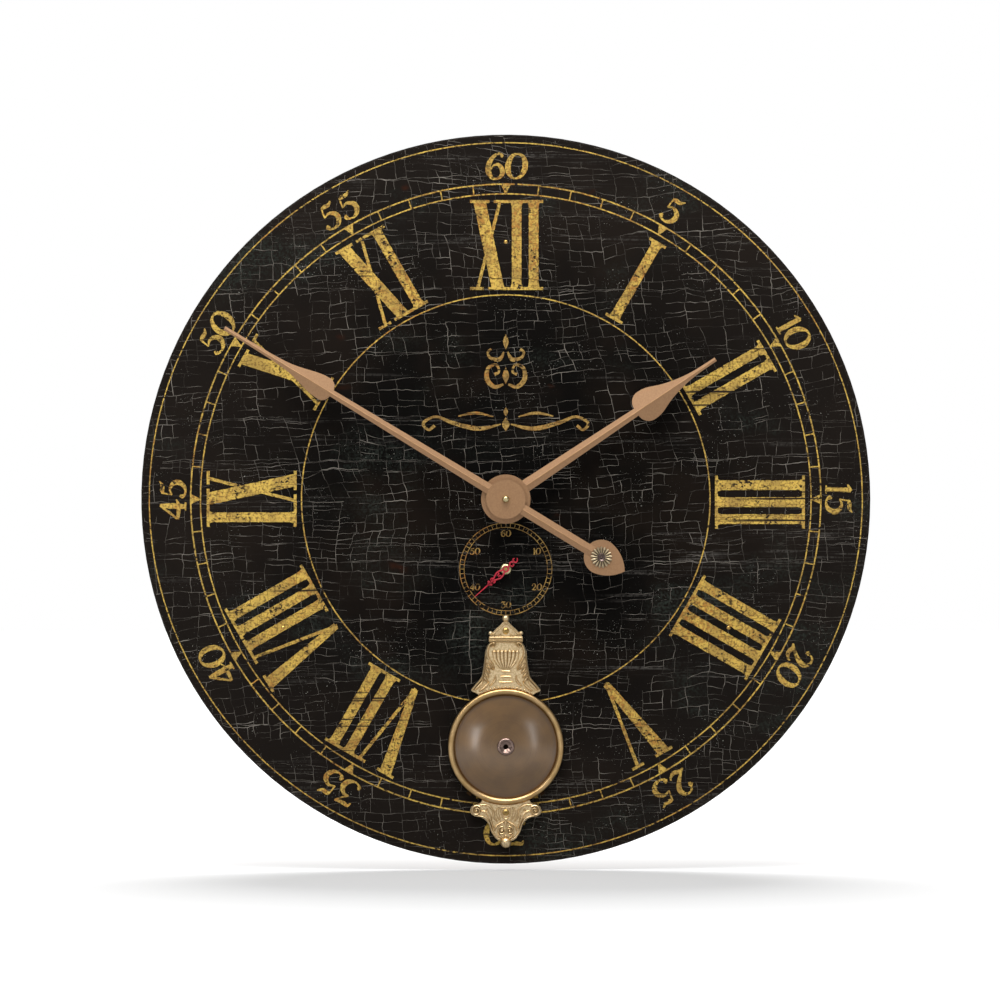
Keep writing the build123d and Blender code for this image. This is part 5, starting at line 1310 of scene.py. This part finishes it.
@dataclass
class Rosette:
    """Stamped flower on the tail of the minute hand, with a dark cupped heart.

    Args:
        radius: reach of the petals.
        petals: their number.
        heart: radius of the heart.
        petal: places along a petal, as shares of the radius, and its half width there.
        cup: the heart's profile, as shares of its radius and of the flower's height.
    """

    radius: float = 8.6
    petals: int = 17
    heart: float = 3.3
    petal: tuple[Pair, ...] = ((0.62, 0.8), (0.86, 1.15), (1.0, 0.4))
    cup: tuple[Pair, ...] = (
        (1, 0), (1, 0.8), (0.9, 1), (0.72, 0.7), (0.5, 0.35), (0.36, 0.35), (0.25, 0.75), (0, 0.85)
    )

    def build(self) -> None:
        """Stamps the flower and its heart and makes the pieces."""
        flower, heart = Shaper(), Shaper()
        middle = centre_of("tail_rosette")
        right, up = (middle.x - HUB.x) / MM, (middle.z - HUB.z) / MM
        front, back = (Vector(corner).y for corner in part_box("tail_rosette"))
        foot = -back / MM
        top = -front / MM - foot
        base, ground = self.radius * 0.84, foot + top * 0.12
        flower.lathe(right, up, [(base, foot), (base, ground), (0.0, ground)], 34)
        places = [(self.heart * 0.85, 0.35)] + [(self.radius * share, half) for share, half in self.petal]
        for petal in range(self.petals):
            line = []
            for reach, half in places:
                x, y = polar(reach, 360 * petal / self.petals)
                line.append((right + x, up + y, half))
            flower.ribbon(line, foot + top * 0.05, top * 0.9, Section.ROUND, step=1.0)
        heart.lathe(right, up, [(self.heart * wide, foot + top * rise) for wide, rise in self.cup])
        flower.piece("stamped_rosette", "minute", ROSETTE, "rosette_brass", ("tail_rosette",))
        heart.piece("rosette_heart", "minute", OXIDISED, "rosette_brass")


@dataclass
class BobOrnament:
    """Cast plate with raised mouldings, the same on both sides of its middle line.

    Args:
        origin: where the plate meets the bezel on that line, up from the hub.
        back: where its back stands, out from the wall.
        thick: its thickness.
        ease: width of its sloped edge.
        depth: how much higher the mouldings stand than they are drawn.
        sunk: how far their feet lie in the plate.
        bead_sunk: the same for beads and the shield's rim.
        bezel: radius of the bezel's rim.
        gap: room between plate and bezel.
        shape: gathers its faces.
    """

    origin: float
    back: float = -Vector(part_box("bob_spine")[0]).y / MM
    thick: float = 2.6
    ease: float = 0.45
    depth: float = 1.25
    sunk: float = 0.15
    bead_sunk: float = 0.1
    bezel: float = 46.35
    gap: float = 0.05
    shape: Shaper = field(default_factory=Shaper)

    @property
    def front(self) -> float:
        """Where the flat of the plate stands."""
        return self.back + self.thick

    def along_bezel(self, span: float, count: int) -> list[Pair]:
        """The edge that follows the bezel, from the middle line to the right.

        Args:
            span: angle of its last point, in degrees from the middle line.
            count: number of steps.

        Returns:
            Points as right, and up from the bezel's rim.
        """
        radius = self.bezel + self.gap
        turns = [math.radians(span * k / count) for k in range(count + 1)]
        return [(radius * math.sin(turn), radius * math.cos(turn) - self.bezel) for turn in turns]

    def ground(self, half_edge: Sequence[Pair]) -> None:
        """Cuts the plate.

        Args:
            half_edge: right half of its outline, from top to bottom.
        """
        right = [(x, self.origin + up) for x, up in half_edge]
        left = [(-x, up) for x, up in right if x > 0]
        self.shape.plate(left + right[::-1], self.back, self.front, self.ease)

    def moulding(self, path: Sequence[Nib], rise: float, pair: bool = True) -> None:
        """Raises a moulding on the plate.

        Args:
            path: right, up from the origin, and half width.
            rise: its drawn height.
            pair: whether its mirror image is raised too.
        """
        for side in (1, -1) if pair else (1,):
            line = [(x, self.origin + up, half) for x, up, half in sided(path, side)]
            self.shape.ribbon(line, self.front - self.sunk, self.depth * rise + self.sunk, Section.ROUND, step=0.7)

    def boss(self, x: float, up: float, radius: float, height: float, pair: bool = True) -> None:
        """Raises a bead on the plate, and its mirror image if it is one of a pair."""
        for side in (1, -1) if pair else (1,):
            self.shape.bead(side * x, self.origin + up, radius, self.front - self.bead_sunk, height)

    def ball(self, up: float, radius: float) -> None:
        """Ends the plate in a whole ball that stands on its back.

        Args:
            up: where it stands, up from the origin.
            radius: its radius.
        """
        bend = [math.pi * (k / 10 - 0.5) for k in range(11)]
        middle = self.back + radius
        profile = [(radius * math.cos(t), middle + radius * math.sin(t)) for t in bend]
        self.shape.lathe(0.0, self.origin + up, profile)


@dataclass
class BobCrest(BobOrnament):
    """Crest over the bezel: a pediment and cornice over a fluted urn, on a flared foot."""

    origin: float = -151.65
    flutes: int = 7
    beads: int = 15

    def build(self) -> None:
        """Casts the crest and makes the piece."""
        self.ground(
            [(0, 54.0), (2.2, 53.4), (4.4, 50.8), (7.5, 48.2), (10.0, 45.6), (12.0, 44.6), (12.9, 41.7),
             (13.6, 40.5), (13.6, 37.6), (12.5, 36.9), (15.0, 34.2), (16.5, 29.7), (17.0, 23.7), (17.8, 17.7),
             (18.9, 11.7), (20.0, 8.4), (22.0, 5.6), (24.7, 2.7), (27.4, -0.2), (27.8, -1.2), (26.8, -2.4),
             (24.4, -3.4), (22.6, -4.6)] + self.along_bezel(28.0, 8)[::-1]
        )
        self.ball(56.3, 2.9)
        self.boss(0, 53.2, 1.9, 1.6, pair=False)
        self.pediment()
        self.urn()
        self.leaves()
        reach = self.bezel + 1.35
        for k in range(self.beads):
            turn = math.radians(51.0 * (k / (self.beads - 1) - 0.5))
            self.boss(reach * math.sin(turn), reach * math.cos(turn) - self.bezel, 0.95, 1.0, pair=False)
        self.shape.piece("cast_bob_crest", "pendulum", CAST_BRASS, "cast_brass", ("bob_crest",))

    def pediment(self) -> None:
        """Raises the sloping rims, corner curls and cornice."""
        self.moulding([(0.9, 52.4, 0.6), (3.9, 49.4, 0.7), (7.2, 46.4, 0.7), (10.6, 43.6, 0.7)], 0.9)
        self.moulding(spiral((8.6, 42.6), (1.6, 0.4), 80, -1.2, (0.5, 0.35)), 0.8)
        self.moulding(spiral((4.9, 43.0), (1.3, 0.3), 110, 1.1, (0.45, 0.3)), 0.7)
        self.boss(12.2, 44.4, 1.7, 1.7)
        for up, half, rise in ((41.2, 0.75, 1.3), (39.0, 0.6, 1.5), (37.3, 0.35, 0.7)):
            self.moulding([(-13.2, up, half), (0, up, half), (13.2, up, half)], rise, pair=False)

    def urn(self) -> None:
        """Raises the urn: a fan of round-topped flutes, a stepped foot and scroll handles."""
        for k in range(self.flutes):
            fan = k - (self.flutes - 1) / 2
            top, waist, foot = 3.1 * fan, 2.65 * fan, 1.2 * fan
            flute = [(top, 30.6, 0.9), (top, 29.2, 1.6), (waist, 22.6, 1.42), (foot, 16.4, 0.75)]
            self.moulding(flute, 1.0, pair=False)
            self.boss(top, 29.4, 1.55, 1.8, pair=False)
        for up, half in ((14.2, 3.3), (9.9, 4.0), (5.4, 5.3)):
            self.moulding([(-half, up, 0.7), (0, up, 1.0), (half, up, 0.7)], 1.3, pair=False)
        self.moulding(spiral((10.3, 34.8), (2.3, 0.4), 180, -1.4, (0.7, 0.4)), 1.4)
        self.boss(10.3, 34.8, 0.9, 1.6)
        handle = [(10.6, 36.6, 0.5), (13.0, 35.4, 0.9), (14.7, 31.4, 1.1), (14.9, 27.6, 1.1), (13.4, 23.6, 1.0),
                  (11.0, 20.0, 0.9), (9.4, 16.4, 0.6), (10.2, 14.8, 0.4)]
        self.moulding(handle, 1.7)
        self.boss(10.6, 16.2, 0.8, 1.5)

    def leaves(self) -> None:
        """Raises the rim and the lobed leaves that spread over the foot."""
        rim = [(15.9, 25.4, 0.4), (16.4, 21.5, 0.6), (17.1, 16.5, 0.65), (18.3, 11.0, 0.7), (20.7, 6.6, 0.8),
               (23.9, 3.0, 0.8), (26.8, -0.4, 0.7)]
        self.moulding(rim, 1.4)
        for k in range(4):
            right, up = 15.2 + 0.9 * k, 20.6 - 3.5 * k
            self.moulding([(right, up, 0.3), (right - 1.7, up - 2.3, 1.2), (right - 3.6, up - 5.0, 0.3)], 1.6)
        self.moulding([(17.6, 7.8, 0.3), (19.6, 4.4, 1.2), (22.6, 1.2, 1.1), (25.4, -1.4, 0.4)], 1.4)
        self.moulding([(13.4, 6.0, 0.3), (15.8, 2.6, 1.1), (18.6, 0.0, 1.0), (21.4, -2.0, 0.4)], 1.2)
        self.moulding([(8.6, 10.6, 0.3), (8.4, 7.4, 0.9), (10.4, 4.2, 0.9), (13.2, 2.2, 0.3)], 1.2)


@dataclass
class BobPendant(BobOrnament):
    """Pendant under the bezel: two scrolls, a shield round the screw, a palmette and a ball."""

    origin: float = -244.35

    def build(self) -> None:
        """Casts the pendant and makes the piece."""
        upper = [(x, -up) for x, up in self.along_bezel(24.0, 5)]
        self.ground(
            upper
            + [(20.4, 1.6), (22.4, 0.3), (25.0, 0.0), (27.6, -1.8), (28.6, -4.7), (27.6, -7.6), (25.0, -9.4),
               (20.2, -10.2), (17.2, -11.6), (15.1, -13.6), (13.6, -16.0), (12.8, -18.4), (11.9, -21.2),
               (10.5, -23.8), (8.6, -26.6), (6.4, -28.4), (3.4, -29.6), (0, -30.0)]
        )
        self.ball(-30.2, 4.4)
        self.scrolls()
        self.shield()
        self.palmette()
        self.shape.piece("cast_bob_pendant", "pendulum", CAST_BRASS, "cast_brass", ("bob_pendant",))

    def scrolls(self) -> None:
        """Raises the volutes at the sides and the stems that sweep down from them."""
        self.moulding(spiral((23.4, -4.8), (4.3, 0.9), 130, -1.6, (1.05, 0.6)), 1.5)
        self.boss(23.4, -4.8, 1.3, 1.9)
        stem = [(20.2, -5.2, 0.4), (16.8, -5.4, 1.0), (13.6, -8.6, 1.1), (11.7, -13.6, 0.9), (10.0, -19.0, 0.4)]
        self.moulding(stem, 1.3)
        upper = [(21.0, -0.4, 0.7), (16.6, 0.0, 0.8), (12.6, -1.8, 0.95), (10.0, -5.8, 0.9), (9.4, -9.8, 0.8),
                 (7.0, -13.4, 0.5)]
        self.moulding(upper, 1.2)
        lower = [(22.8, -8.9, 0.6), (18.4, -9.8, 0.7), (14.6, -12.4, 0.8), (12.3, -17.0, 0.8), (10.7, -22.0, 0.8),
                 (7.4, -26.2, 0.7), (3.2, -28.2, 0.5)]
        self.moulding(lower, 1.1)

    def shield(self) -> None:
        """Raises the rim round the screw and the leaves beside it."""
        rim = [(-3.2, -2.7), (0, -2.5), (3.2, -2.7), (3.6, -6.2), (2.6, -9.6), (0, -11.4), (-2.6, -9.6),
               (-3.6, -6.2)]
        line = [(x, self.origin + up, 0.5) for x, up in rim]
        self.shape.ribbon(line, self.front - self.bead_sunk, 1.0, Section.ROUND, step=0.7, closed=True)
        self.moulding([(5.0, -2.2, 0.3), (6.8, -4.6, 1.0), (6.2, -8.6, 1.1), (4.4, -12.4, 0.4)], 1.0)
        self.moulding([(14.8, -3.0, 0.3), (14.6, -6.0, 1.1), (12.6, -9.0, 1.0), (11.2, -11.6, 0.3)], 1.0)

    def palmette(self) -> None:
        """Raises the leaf, the curls and the beads over the ball."""
        self.moulding([(0, -12.6, 0.3), (0, -14.4, 1.3), (0, -17.6, 0.4)], 1.2, pair=False)
        self.moulding([(1.2, -13.4, 0.3), (4.4, -15.0, 0.9), (7.6, -17.4, 0.8), (8.8, -21.0, 0.4)], 1.0)
        self.moulding(spiral((3.0, -20.8), (3.4, 0.7), 100, -1.5, (0.8, 0.5)), 1.2)
        self.boss(3.0, -20.8, 1.3, 1.7)
        self.moulding([(6.2, -21.6, 0.4), (5.0, -25.0, 0.8), (1.4, -28.0, 0.5)], 1.1)
        self.boss(0, -25.2, 1.2, 1.5, pair=False)


@dataclass
class SpunDish:
    """Dish of the bob, spun from sheet: a flat crown, a soft shoulder and a skirt down to the bezel.

    Args:
        rim: radius at the bezel.
        eye: radius of the hole for the eyelet.
        rise: height of the crown above the rim.
        seat: height of the rim above the spine.
        sheet: thickness of the sheet.
        shoulder: radius at which the crown turns down to the skirt.
        turn: half the width of that bend.
        fall: how much steeper the skirt is than the crown.
        steps: number of steps from the rim to the eye.
        lip: number of those steps that the rim is solid.
        sides: number of facets round it.
    """

    rim: float = 41.75
    eye: float = 3.2
    rise: float = 5.2
    seat: float = 1.0
    sheet: float = 0.8
    shoulder: float = 24.0
    turn: float = 5.0
    fall: float = 0.09
    steps: int = 36
    lip: int = 4
    sides: int = 96

    def skirt(self, reach: float) -> float:
        """Distance past the shoulder, eased through the bend."""
        past = reach - self.shoulder
        return (past + math.hypot(past, self.turn)) / 2

    def drop(self, reach: float) -> float:
        """How far the front lies below the eyelet's seat.

        Args:
            reach: radius at which it is measured.

        Returns:
            The distance in millimetres.
        """
        skirted = self.fall * (self.skirt(self.rim) - self.skirt(self.eye))
        crown = (self.rise - skirted) / (self.rim**2 - self.eye**2)
        return crown * (reach**2 - self.eye**2) + self.fall * (self.skirt(reach) - self.skirt(self.eye))

    def build(self) -> None:
        """Spins the dish and makes the piece."""
        front = front_of("bob_dish")
        middle = (centre_of("bob_dish") - HUB) / MM
        radii = [self.rim + (self.eye - self.rim) * k / self.steps for k in range(self.steps + 1)]
        outside = [(r, front - self.drop(r)) for r in radii]
        inside = [(r, front - self.drop(r) - self.sheet) for r in reversed(radii[self.lip :])]
        spine = front - self.rise - self.seat
        foot = [(self.rim - 4 * self.sheet, spine), (self.rim, spine)]
        shape = Shaper()
        shape.lathe(middle.x, middle.z, outside + inside + foot, self.sides, ring=True)
        shape.piece("spun_bob_dish", "pendulum", BRONZE, "antique_bronze", ("bob_dish",))


@dataclass
class Studio:
    """Floor, lights, white surround and the camera that looks straight at the dial.

    Args:
        floor_drop: how far the floor lies below the hub, in millimetres.
        floor_half: half the side of the floor, in metres.
        floor_tone: the floor's paint.
        floor_mirrored: the same as metal mirrors it.
        floor_white: least and greatest white that the floor adds where the camera sees it.
        floor_shine: white that it adds where metal mirrors it.
        camera_away: distance from the camera to the dial, in metres.
        sensor: width of the camera's sensor, in millimetres.
        frame_width: width of the picture at the dial, in metres.
        aim_right: place of the picture's middle from the hub, in millimetres.
        aim_up: the same, upwards.
        room: strength of the white room as it lights the clock.
    """

    floor_drop: float = 297.0
    floor_half: float = 9.0
    floor_tone: str = "#a8a8a8"
    floor_mirrored: str = "#9c9c9c"
    floor_white: Pair = (0.25, 0.75)
    floor_shine: float = 0.12
    camera_away: float = 5.0
    sensor: float = 36.0
    frame_width: float = 0.8008
    aim_right: float = -4.64
    aim_up: float = -0.68
    room: float = 0.17

    def floor(self) -> None:
        """Lays a white floor just under the dial, which keeps the clock's shadow."""
        mesh = bpy.data.meshes.new("studio_floor")
        half, level = self.floor_half, HUB.z - self.floor_drop * MM
        corners = [(-half, -half, level), (half, -half, level), (half, half, level), (-half, half, level)]
        mesh.from_pydata(corners, [], [(0, 1, 2, 3)])
        mesh.materials.append(self.floor_paint(level))
        made = bpy.data.objects.new("studio_floor", mesh)
        bpy.context.scene.collection.objects.link(made)

    def floor_paint(self, level: float) -> bpy.types.Material:
        """Matt white paint, full white to the camera except in the clock's shadow.

        Args:
            level: height of the floor, in metres.

        Returns:
            The material.
        """
        paint = bpy.data.materials.new("matt_white_floor_paint")
        paint.use_nodes = True
        tree = paint.node_tree
        tree.nodes.clear()
        path = node(tree, "LightPath").outputs
        glossy = path["Is Glossy Ray"]
        spot = node(tree, "TexCoord").outputs["Object"]
        # The floor whitens behind the clock and far from it
        shares = {"To Min": self.floor_white[0], "To Max": self.floor_white[1]}
        deep = node(tree, "SeparateXYZ", {0: spot}).outputs["Y"]
        behind = node(tree, "MapRange", {"Value": deep, "From Min": -0.05, "From Max": 0.25} | shares).outputs[0]
        away = node(tree, "VectorMath", {0: spot, 1: (0, 0, level)}, operation="DISTANCE").outputs["Value"]
        far = node(tree, "MapRange", {"Value": away, "From Min": 0.8, "From Max": 1.8} | shares).outputs[0]
        white = node(tree, "Math", {0: behind, 1: far}, operation="MAXIMUM").outputs[0]
        seen = node(tree, "Math", {0: path["Is Camera Ray"], 1: white}, operation="MULTIPLY").outputs[0]
        shine = {0: glossy, 1: self.floor_shine, 2: seen}
        mirrored = node(tree, "Math", shine, operation="MULTIPLY_ADD").outputs[0]
        through = {0: path["Is Transmission Ray"], 1: white, 2: mirrored}
        lift = node(tree, "Math", through, operation="MULTIPLY_ADD").outputs[0]
        tones = {0: glossy, 6: self.floor_tone, 7: self.floor_mirrored}
        tone = node(tree, "Mix", tones, data_type="RGBA").outputs[2]
        matt = node(tree, "BsdfDiffuse", {"Color": tone}).outputs[0]
        glow = node(tree, "Emission", {"Color": "#ffffff", "Strength": lift}).outputs[0]
        node(tree, "OutputMaterial", {"Surface": node(tree, "AddShader", {0: matt, 1: glow}).outputs[0]})
        return paint

    def surround(self) -> None:
        """White room, full white where it is seen.

        Metal mirrors it white behind the clock, and brighter above than below in front of it.
        """
        world = bpy.data.worlds.new("white_studio")
        bpy.context.scene.world = world
        world.use_nodes = True
        tree = world.node_tree
        tree.nodes.clear()
        path = node(tree, "LightPath").outputs
        way = node(tree, "SeparateXYZ", {0: node(tree, "TexCoord").outputs["Generated"]}).outputs
        above = {"Value": way["Z"], "From Min": -0.4, "From Max": 0.6, "To Min": 0.3, "To Max": 0.46}
        front = node(tree, "MapRange", above).outputs[0]
        behind = node(tree, "MapRange", {"Value": way["Y"], "From Min": 0.1, "From Max": 0.6}).outputs[0]
        mirrored = node(tree, "Mix", {0: behind, 2: front, 3: 1.0}, data_type="FLOAT").outputs[0]
        lit = {0: path["Is Glossy Ray"], 2: self.room, 3: mirrored}
        soft = node(tree, "Mix", lit, data_type="FLOAT").outputs[0]
        straight = {0: path["Is Camera Ray"], 1: path["Is Transmission Ray"]}
        clear = node(tree, "Math", straight, operation="MAXIMUM").outputs[0]
        strength = node(tree, "Mix", {0: clear, 2: soft, 3: 1.0}, data_type="FLOAT").outputs[0]
        back = node(tree, "Background", {"Color": "#ffffff", "Strength": strength}).outputs[0]
        node(tree, "OutputWorld", {"Surface": back})

    def aimed(self, name: str, light: bpy.types.Light, at: Vector, target: Vector) -> None:
        """Hangs a light and turns it to its target.

        Args:
            name: the lamp's name.
            light: what it shines with.
            at: where it hangs, in metres from the hub.
            target: what it faces, in metres from the hub.
        """
        made = bpy.data.objects.new(name, light)
        made.location = HUB + at
        made.rotation_mode = "QUATERNION"
        made.rotation_quaternion = (target - at).to_track_quat("-Z", "Y")
        bpy.context.scene.collection.objects.link(made)

    def softbox(self, name: str, watts: float, at: Vector, size: Pair, target: Vector) -> None:
        """Hangs a softbox.

        Args:
            name: the lamp's name.
            watts: its power.
            at: where it hangs, in metres from the hub.
            size: width and height in metres.
            target: what it faces, in metres from the hub.
        """
        light = bpy.data.lights.new(name, "AREA")
        light.energy, light.shape = watts, "RECTANGLE"
        light.size, light.size_y = size
        self.aimed(name, light, at, target)

    def lamps(self) -> None:
        """Hangs a skylight behind, a key light over the dial, and three small lights for the bob."""
        hub, bob = Vector((0, 0, 0)), centre_of("bob_dish") - HUB
        # From above and behind: it throws the soft shadow forward on the floor
        sky = bpy.data.lights.new("rear_skylight", "SUN")
        sky.energy, sky.angle = 4.4, 0.7
        self.aimed("rear_skylight", sky, Vector((0.0, 0.656, 0.755)), hub)
        self.softbox("key_softbox", 61.0, Vector((-0.08, -1.0, 1.85)), (1.9, 1.4), hub)
        for name, watts, away, size in (
            ("left_strip", 2.3, (-0.68, -2.05, 0.0), (0.24, 0.75)),
            ("right_strip", 0.95, (0.58, -2.05, 0.2), (0.2, 0.6)),
            ("upper_left_box", 3.6, (-1.0, -1.2, 1.0), (0.4, 0.4)),
        ):
            self.softbox(name, watts, bob + Vector(away), size, bob)

    def camera(self) -> None:
        """Sets the camera square to the dial with a long lens."""
        lens = bpy.data.cameras.new("dial_camera")
        lens.sensor_width = self.sensor
        lens.lens = self.sensor * self.camera_away / self.frame_width
        made = bpy.data.objects.new("dial_camera", lens)
        made.location = place(self.aim_right, self.aim_up, FACE_OUT + self.camera_away / MM)
        made.rotation_euler = (math.radians(90), 0, 0)
        bpy.context.scene.collection.objects.link(made)
        bpy.context.scene.camera = made

    def build(self) -> None:
        """Sets up the studio."""
        bpy.context.scene.view_settings.view_transform = "Standard"
        self.floor()
        self.surround()
        self.lamps()
        self.camera()


def main() -> None:
    """Builds the clock's looks in order and sets the studio round it."""
    logging.basicConfig(level=logging.INFO, format="%(name)s %(message)s")
    # Blender seeds its noise vectors from the time of day unless it is told a seed
    noise.seed_set(NOISE_SEED)
    dress_solids()
    printed = DialPrint()
    printed.build()
    CrackNet().build((printed.ink, printed.thin_ink))
    HandRidge("hour_hand", "hour", 56.3, ((20.0, 198.0),)).build()
    HandRidge("minute_hand", "minute", 301.3, ((16.2, 259.0), (-16.2, -73.0))).build()
    SecondsHand().build()
    Rosette().build()
    BobCrest().build()
    BobPendant().build()
    SpunDish().build()
    Studio().build()


if __name__ == "__main__":
    main()
